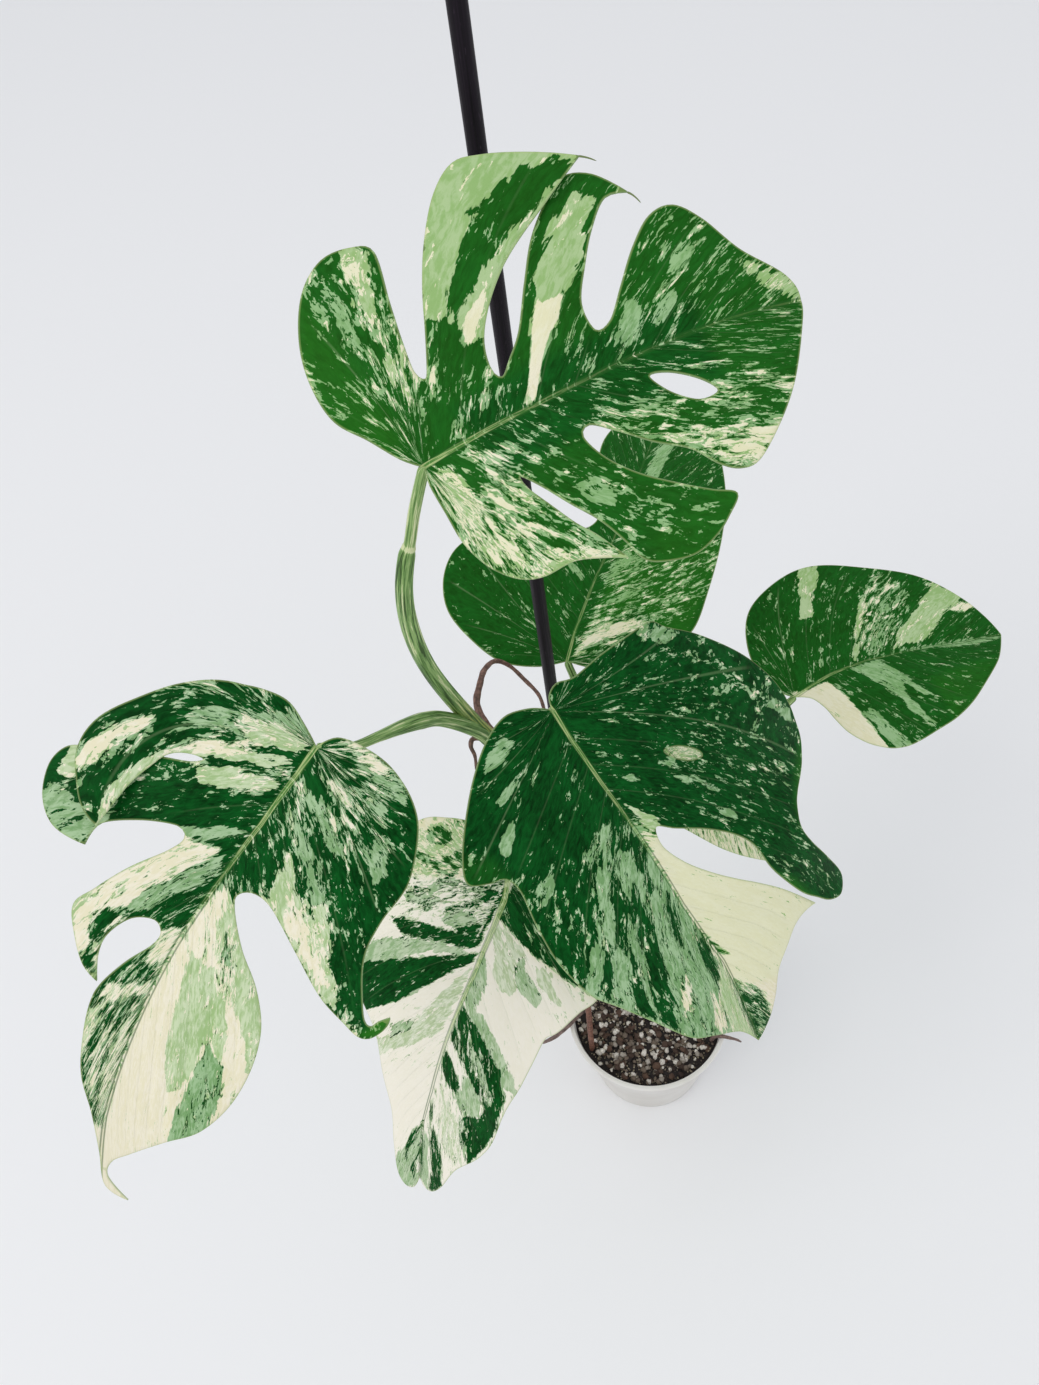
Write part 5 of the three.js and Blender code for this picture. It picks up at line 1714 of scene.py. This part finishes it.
def make_threads():
    """Tubes that taper from 0.4 to 0.2 mm in radius and sag as the square of the way along."""
    parts = []
    for tip, before, length, sag in THREADS:
        start, end = bend(LEAVES["top_leaf"], np.array([before, tip], float))
        way = (end - start) / np.linalg.norm(end - start)
        points = [[*(end + way * length * part - [0, 0, sag * part ** 2]), 0.38 - 0.2 * part]
                  for part in (-0.08, 0.3, 0.65, 1)]
        parts.append(with_values(tube(points, 8, 0.8), tint=0.4, yellow=0, bark=0.5, seed=2))
    place_tube("top_leaf_threads", join(parts), stalk_finish, ["top_leaf"])


make_threads()

# %% [markdown]
# ## The aerial roots
#
# They leave the stem at its joints and hang or creep until they find the mix. Each is its own
# piece, wrinkled across by uneven waves with a random start. Their skin is cork, red-brown when
# young and grey when old.

# %% The aerial roots
ROOT_TINTS = {"root_arch": 0.4, "root_short": 0.45, "root_into_mix": 0.1, "root_over_left_rim": 0.8,
              "root_over_right_rim": 0.75}
YOUNG_CORK, OLD_CORK = ("#4e3024", "#93604a"), ("#4a3d3b", "#8f7f78")


def root_material():
    """Brown cork, ringed and finely split lengthwise. tint moves it from red-brown to grey."""
    material, tree, shader = new_material("root")
    rings = noise(tree, round_vector(tree, 0.6, 2.2), 1.2, 3)
    splits = noise(tree, round_vector(tree, 3.5, 16), 1.5, 3)
    worn = times_plus(tree, rings, 0.6, times(tree, splits, 0.5))
    light = rise(tree, worn, 0.35, 0.75)
    young, old = mix_pair(tree, light, YOUNG_CORK), mix_pair(tree, light, OLD_CORK)
    painted = mix(tree, attribute(tree, "tint"), young, old)
    feed(tree, shader, painted, times_plus(tree, splits, 0.3, 0.55), bump(tree, worn, 0.7, 0.0012))
    return material


def make_root(name, seed):
    """A root whose radius changes by up to a sixth in three uneven waves."""
    rng = np.random.default_rng(seed)
    phases = rng.uniform(0, 6.28, 4)

    def wrinkles(angle, length, radius):
        wave = np.sin(length / 1.3 + phases[0]) + np.sin(length / 2.9 + phases[1] + np.cos(angle))
        return radius * (0.05 * wave + 0.06 * np.cos(3 * angle + length / 9 + phases[2]))

    root = with_values(tube(ROOTS[name], 14, 0.9, wrinkles), tint=ROOT_TINTS[name], seed=seed)
    return place_tube(name, root, root_finish, [name])


root_finish = root_material()
for number, root_name in enumerate(ROOTS):
    make_root(root_name, 20 + number)

# %% [markdown]
# ## The stake
#
# A thin rod with a dark plastic skin. It was drawn lengthwise when it was made, so its marks are
# long and faint.

# %% The stake
STAKE_COLOURS = ("#0b070d", "#1b131d")
STAKE_SCUFF = "#2f2530"


def stake_material():
    """Nearly black, with long marks and a few pale scuffs."""
    material, tree, shader = new_material("stake")
    drawn = noise(tree, round_vector(tree, 4, 60), 1.5, 3)
    scuffs = noise(tree, round_vector(tree, 2, 9), 2, 4)
    painted = mix_pair(tree, rise(tree, drawn, 0.3, 0.7), STAKE_COLOURS)
    painted = mix(tree, rise(tree, scuffs, 0.62, 0.75), painted, colour(STAKE_SCUFF))
    feed(tree, shader, painted, times_plus(tree, scuffs, 0.3, 0.3), bump(tree, drawn, 0.4, 0.0004))
    shader.inputs["Specular IOR Level"].default_value = 0.15
    return material


place_tube("stake", with_values(tube(STAKE, 32, 1.2), seed=5), stake_material(), ["stake"])

# %% [markdown]
# ## The pot's wall
#
# A nursery pot is thin plastic, blown or pressed, so every corner is round. Its wall is a profile
# turned about the axis: floor, wall, rim and the inside again.

# %% The pot's wall
POT_TOP, POT_BASE, POT_HEIGHT, POT_WALL, POT_FLOOR = 71, 54, 130, 1.8, 2.4
RIM_WIDTH, RIM_HEIGHT = 2, 4
POT_SIDES = 160
OUTER_DISC, INNER_DISC = POT_BASE - 6, POT_BASE - 10  # where the turned part ends and the flat begins


def wall_inside(z):
    """The radius of the inner wall at a height."""
    return POT_BASE - POT_WALL + (POT_TOP - POT_BASE) / POT_HEIGHT * z


def rounded(corners, steps=5):
    """A profile with each corner (radius, height, rounding) replaced by a short arc-like curve."""
    line = []
    for i, (x, y, size) in enumerate(corners):
        here = np.array([x, y], float)
        if size == 0:
            line.append(here)
            continue
        before, after = (np.array(corners[k][:2], float) for k in (i - 1, i + 1))
        start = here + (before - here) / np.linalg.norm(before - here) * size
        finish = here + (after - here) / np.linalg.norm(after - here) * size
        t = np.linspace(0, 1, steps)[:, None]
        line.extend((1 - t) ** 2 * start + 2 * t * (1 - t) * here + t ** 2 * finish)
    return np.array(line)


def pot_profile():
    """The wall's section, from the outer disc's edge up round the rim and down to the inner one's."""
    under_rim = POT_TOP - (POT_TOP - POT_BASE) / POT_HEIGHT * RIM_HEIGHT
    edge = POT_TOP + RIM_WIDTH
    return rounded([
        (OUTER_DISC, 0, 0), (POT_BASE, 0, 2.2), (under_rim, POT_HEIGHT - RIM_HEIGHT, 0.4),
        (edge, POT_HEIGHT - RIM_HEIGHT, 0.8), (edge, POT_HEIGHT, 1.5),
        (wall_inside(POT_HEIGHT), POT_HEIGHT, 0.8), (wall_inside(POT_FLOOR), POT_FLOOR, 2.0),
        (INNER_DISC, POT_FLOOR, 0),
    ])


print("the pot's profile has", len(pot_profile()), "points")

# %% [markdown]
# ## The pot's floor, and the whole pot
#
# Six holes let the water out. So the two faces of the floor are filled flat with the holes left
# open, as the leaves were, and a short wall lines each hole. Points that fall together are merged,
# and the number of open edges shows whether the skin is closed.

# %% The pot's floor, and the whole pot
HOLES, HOLE_RADIUS, HOLE_CIRCLE, HOLE_SIDES = 6, 4, 34, 24
FLOOR_GRID = 6
POT_COLOURS, MIX_SHADE_ON_WALL = ("#eae6df", "#f6f3ee"), "#a39c92"


def pot_floor(count):
    """The floor's points and faces as lists of blocks, with the points numbered from count."""
    loops = [HOLE_CIRCLE * way + HOLE_RADIUS * circle(HOLE_SIDES) for way in circle(HOLES)]
    points, quads, triangles = [], [], []
    for radius, z, flip in ((OUTER_DISC, 0, True), (INNER_DISC, POT_FLOOR, False)):
        flat, faces = fill_flat([radius * circle(POT_SIDES), *loops], FLOOR_GRID)
        points.append(np.hstack([flat, np.full((len(flat), 1), z)]))
        triangles.append((faces[:, ::-1] if flip else faces) + count)
        count += len(flat)
    for loop in loops:
        ring = np.arange(HOLE_SIDES) + count
        follow = np.roll(ring, -1)
        points += [np.hstack([loop, np.full((HOLE_SIDES, 1), z)]) for z in (0, POT_FLOOR)]
        quads.append(np.stack([follow, ring, ring + HOLE_SIDES, follow + HOLE_SIDES], axis=1))
        count += 2 * HOLE_SIDES
    return points, quads, triangles


def close_seams(piece):
    """Merges points that fall together, and prints how many edges are open after that."""
    seams = bmesh.new()
    seams.from_mesh(piece.data)
    bmesh.ops.remove_doubles(seams, verts=seams.verts, dist=1e-6)
    open_edges = sum(len(edge.link_faces) != 2 for edge in seams.edges)
    seams.to_mesh(piece.data)
    seams.free()
    print(piece.name, "closed, with", open_edges, "open edges")


def make_pot(material):
    """One closed skin: the turned wall, the floor's two faces and the walls of its holes."""
    profile = pot_profile()
    rings = profile[:, None, :1] * circle(POT_SIDES)
    wall = np.concatenate([rings, np.tile(profile[:, None, 1:], (1, POT_SIDES, 1))], axis=2)
    wall_quads = band(len(profile), POT_SIDES)[2]
    points, quads, triangles = pot_floor(len(profile) * POT_SIDES)
    points = np.vstack([wall.reshape(-1, 3), *points])
    faces = [np.vstack([wall_quads, *quads]), np.vstack(triangles)]
    close_seams(make_piece("pot", points, faces, [material], ["pot"]))


def pot_material():
    """Milky plastic, pale and a little see-through, with faint marks and a painted shade below the mix."""
    material, tree, shader = new_material("pot")
    place = add(tree, "TexCoord").outputs["Object"]
    clouds = noise(tree, place, 18, 3)
    marks = noise(tree, scaled(tree, place, (60, 60, 400)), 1, 3)
    painted = mix_pair(tree, rise(tree, clouds, 0.3, 0.7), POT_COLOURS)
    # Painted shade: the wall darkens below the mix's level, where the dark mix fills the pot.
    painted_mix_shade = rise(tree, add(tree, "SeparateXYZ", {0: place}).outputs[2], 0.121, 0.108)
    painted = mix(tree, times(tree, painted_mix_shade, 0.2), painted, colour(MIX_SHADE_ON_WALL))
    feed(tree, shader, painted, times_plus(tree, marks, 0.25, 0.28), bump(tree, marks, 0.12, 0.0003))
    shader.inputs["Transmission Weight"].default_value = 0.12
    return material


make_pot(pot_material())

# %% [markdown]
# ## The grains of the mix
#
# The mix is bark, peat and pale volcanic grit. A grain is a ball with uneven points, squashed and
# turned at random: bark lies nearly flat, and the others lie any way up. All of a kind are made at
# once, as one array of grains by points.

# %% The grains of the mix
MIX_LEVEL = 117
KINDS = {"ground": 0.0, "grit": 1.0, "bark": 2.0, "crumb": 3.0}
GRAINS = {  # how many, the least and the largest radius, and how flat
    "grit": (640, 1.0, 3.1, 0.75), "bark": (230, 1.6, 3.8, 0.45), "crumb": (1700, 0.5, 1.4, 0.7),
}
STANDING = [  # what stands in the mix: its place and its radius
    [-29, 27, 8.5], [-45.5, 31, 4.2], [-56.4, -23, 2.8], [-56, 13, 2.8], [52, -35, 2.2],
]


def ball(levels):
    """The points and triangles of a ball of radius 1 made from an icosahedron."""
    shape = bmesh.new()
    bmesh.ops.create_icosphere(shape, subdivisions=levels, radius=1)
    points = np.array([vertex.co[:] for vertex in shape.verts])
    faces = np.array([[vertex.index for vertex in face.verts] for face in shape.faces])
    shape.free()
    return points, faces


def random_turns(rng, count):
    """Even random rotations, from four normal numbers each."""
    w, x, y, z = rng.normal(size=(4, count))
    size = np.sqrt(w * w + x * x + y * y + z * z)
    w, x, y, z = w / size, x / size, y / size, z / size
    turns = np.array([[1 - 2 * (y * y + z * z), 2 * (x * y - w * z), 2 * (x * z + w * y)],
                      [2 * (x * y + w * z), 1 - 2 * (x * x + z * z), 2 * (y * z - w * x)],
                      [2 * (x * z - w * y), 2 * (y * z + w * x), 1 - 2 * (x * x + y * y)]])
    return turns.transpose(2, 0, 1)


def scatter(rng, count, least, most):
    """Sizes and places of grains that keep clear of the pot's wall and of what stands in the mix."""
    size = rng.uniform(least, most, count)
    away = (wall_inside(MIX_LEVEL) - 1.5 - size) * np.sqrt(rng.uniform(0, 1, count))
    turn = rng.uniform(0, 2 * np.pi, count)
    centre = np.stack([away * np.cos(turn), away * np.sin(turn)], axis=1)
    clear = np.all([np.hypot(*(centre - [x, y]).T) > radius + size for x, y, radius in STANDING], axis=0)
    return size[clear], centre[clear]


def lay_flat(grains, lean, spin):
    """Grains turned about the upright by spin, and sheared by lean along x and along y."""
    x = grains[..., 0] * np.cos(spin)[:, None] - grains[..., 1] * np.sin(spin)[:, None]
    y = grains[..., 0] * np.sin(spin)[:, None] + grains[..., 1] * np.cos(spin)[:, None]
    return np.stack([x, y, grains[..., 2] + lean[0][:, None] * x + lean[1][:, None] * y], axis=-1)


def make_grains(rng, kind, count, least, most, flatness):
    """The points and triangles of all grains of a kind, with the kind and a shade at each point."""
    shape, faces = ball(1 if kind == "crumb" else 2)
    size, centre = scatter(rng, count, least, most)
    number = len(size)
    uneven = 1 + rng.uniform(-0.28, 0.28, (number, len(shape)))
    squash = np.stack([np.ones(number), rng.uniform(0.6, 1, number), np.full(number, flatness)], axis=1)
    grains = shape * uneven[..., None] * squash[:, None, :] * size[:, None, None]
    lean = np.clip(rng.normal(0, 0.45, (2, number)), -1, 1)
    if kind == "bark":
        grains = lay_flat(grains, lean, rng.uniform(0, 2 * np.pi, number))
    else:
        grains = np.einsum("gij,gpj->gpi", random_turns(rng, number), grains)
    height = MIX_LEVEL + rng.uniform(0.1, 0.9, number) * size * 0.6
    grains += np.concatenate([centre, height[:, None]], axis=1)[:, None, :]
    index = faces[None] + (np.arange(number) * len(shape))[:, None, None]
    shade = np.repeat(rng.uniform(0, 1, number), len(shape))
    print(number, "grains of", kind)
    return grains.reshape(-1, 3), index.reshape(-1, 3), np.full(len(shade), KINDS[kind]), shade

# %% [markdown]
# ## The potting mix
#
# Under the grains the mix is a closed body of rings with an uneven top. Two numbers go with each
# point: the kind of grain, and a random one for its shade. The material picks the colour by kind
# and shifts it by shade.

# %% The potting mix
SEAT_GAP = 0.3
MIX_SIDES, MIX_RINGS = 150, 44
GROUND_COLOURS, GRIT_COLOURS, GRIT_SPECK = ("#070405", "#2a1e1b"), ("#6f6154", "#efe8de"), "#75645b"
BARK_COLOURS, CRUMB_COLOURS = ("#1c1210", "#5d4537"), ("#261b18", "#b3a58c")


def mix_body(rng):
    """The body's points, quads and caps: rings out from the middle, and one at the bottom."""
    bottom = POT_FLOOR + SEAT_GAP
    radii = np.linspace(0, wall_inside(MIX_LEVEL) - SEAT_GAP, MIX_RINGS + 1)[1:, None]
    angle = np.arange(MIX_SIDES) * 2 * np.pi / MIX_SIDES
    uneven = rng.uniform(-0.7, 0.7, (MIX_RINGS, MIX_SIDES))
    height = MIX_LEVEL + uneven + 0.6 * np.sin(3 * angle) * radii / 70
    height = np.vstack([height, np.full(MIX_SIDES, bottom)])
    radii = np.vstack([radii, [wall_inside(bottom) - SEAT_GAP]])
    rings = np.concatenate([radii[..., None] * circle(MIX_SIDES), height[..., None]], axis=2)
    grid, turned, quads = band(MIX_RINGS + 1, MIX_SIDES)
    poles = grid.size + np.arange(2)
    caps = np.vstack([np.stack([np.full(MIX_SIDES, poles[0]), grid[0], turned[0]], axis=1),
                      np.stack([np.full(MIX_SIDES, poles[1]), turned[-1], grid[-1]], axis=1)])
    points = np.vstack([rings.reshape(-1, 3), [[0, 0, MIX_LEVEL], [0, 0, bottom]]])
    return points, quads[:, [0, 3, 2, 1]], caps


def make_mix(material):
    """The body and all grains as one piece."""
    rng = np.random.default_rng(11)
    body, quads, caps = mix_body(rng)
    points, triangles = [body], [caps]
    kinds, shades = [np.zeros(len(body))], [rng.uniform(0, 1, len(body))]
    for kind, numbers in GRAINS.items():
        grains, faces, kind_values, shade = make_grains(rng, kind, *numbers)
        triangles.append(faces + sum(len(block) for block in points))
        points.append(grains)
        kinds.append(kind_values)
        shades.append(shade)
    values = {"kind": np.concatenate(kinds), "shade": np.concatenate(shades)}
    make_piece("potting_mix", np.vstack(points), [quads, np.vstack(triangles)], [material],
               ["potting_mix"], values)


def mix_material():
    """Four colours by kind, each shifted by the grain's own shade and a fine speckle."""
    material, tree, shader = new_material("mix")
    speckle = noise(tree, add(tree, "TexCoord").outputs["Object"], 900, 3)
    kind, shade = attribute(tree, "kind"), attribute(tree, "shade")
    painted = mix_pair(tree, speckle, GROUND_COLOURS)
    grit = mix_pair(tree, rise(tree, shade, 0.2, 1.0), GRIT_COLOURS)
    grit = mix(tree, rise(tree, speckle, 0.55, 0.75), grit, colour(GRIT_SPECK))
    bark, crumb = mix_pair(tree, shade, BARK_COLOURS), mix_pair(tree, shade, CRUMB_COLOURS)
    for name, grain in (("grit", grit), ("bark", bark), ("crumb", crumb)):
        painted = mix(tree, rise(tree, kind, KINDS[name] - 0.6, KINDS[name] - 0.4), painted, grain)
    feed(tree, shader, painted, times_plus(tree, speckle, 0.3, 0.6), bump(tree, speckle, 0.8, 0.0008))
    return material


make_mix(mix_material())
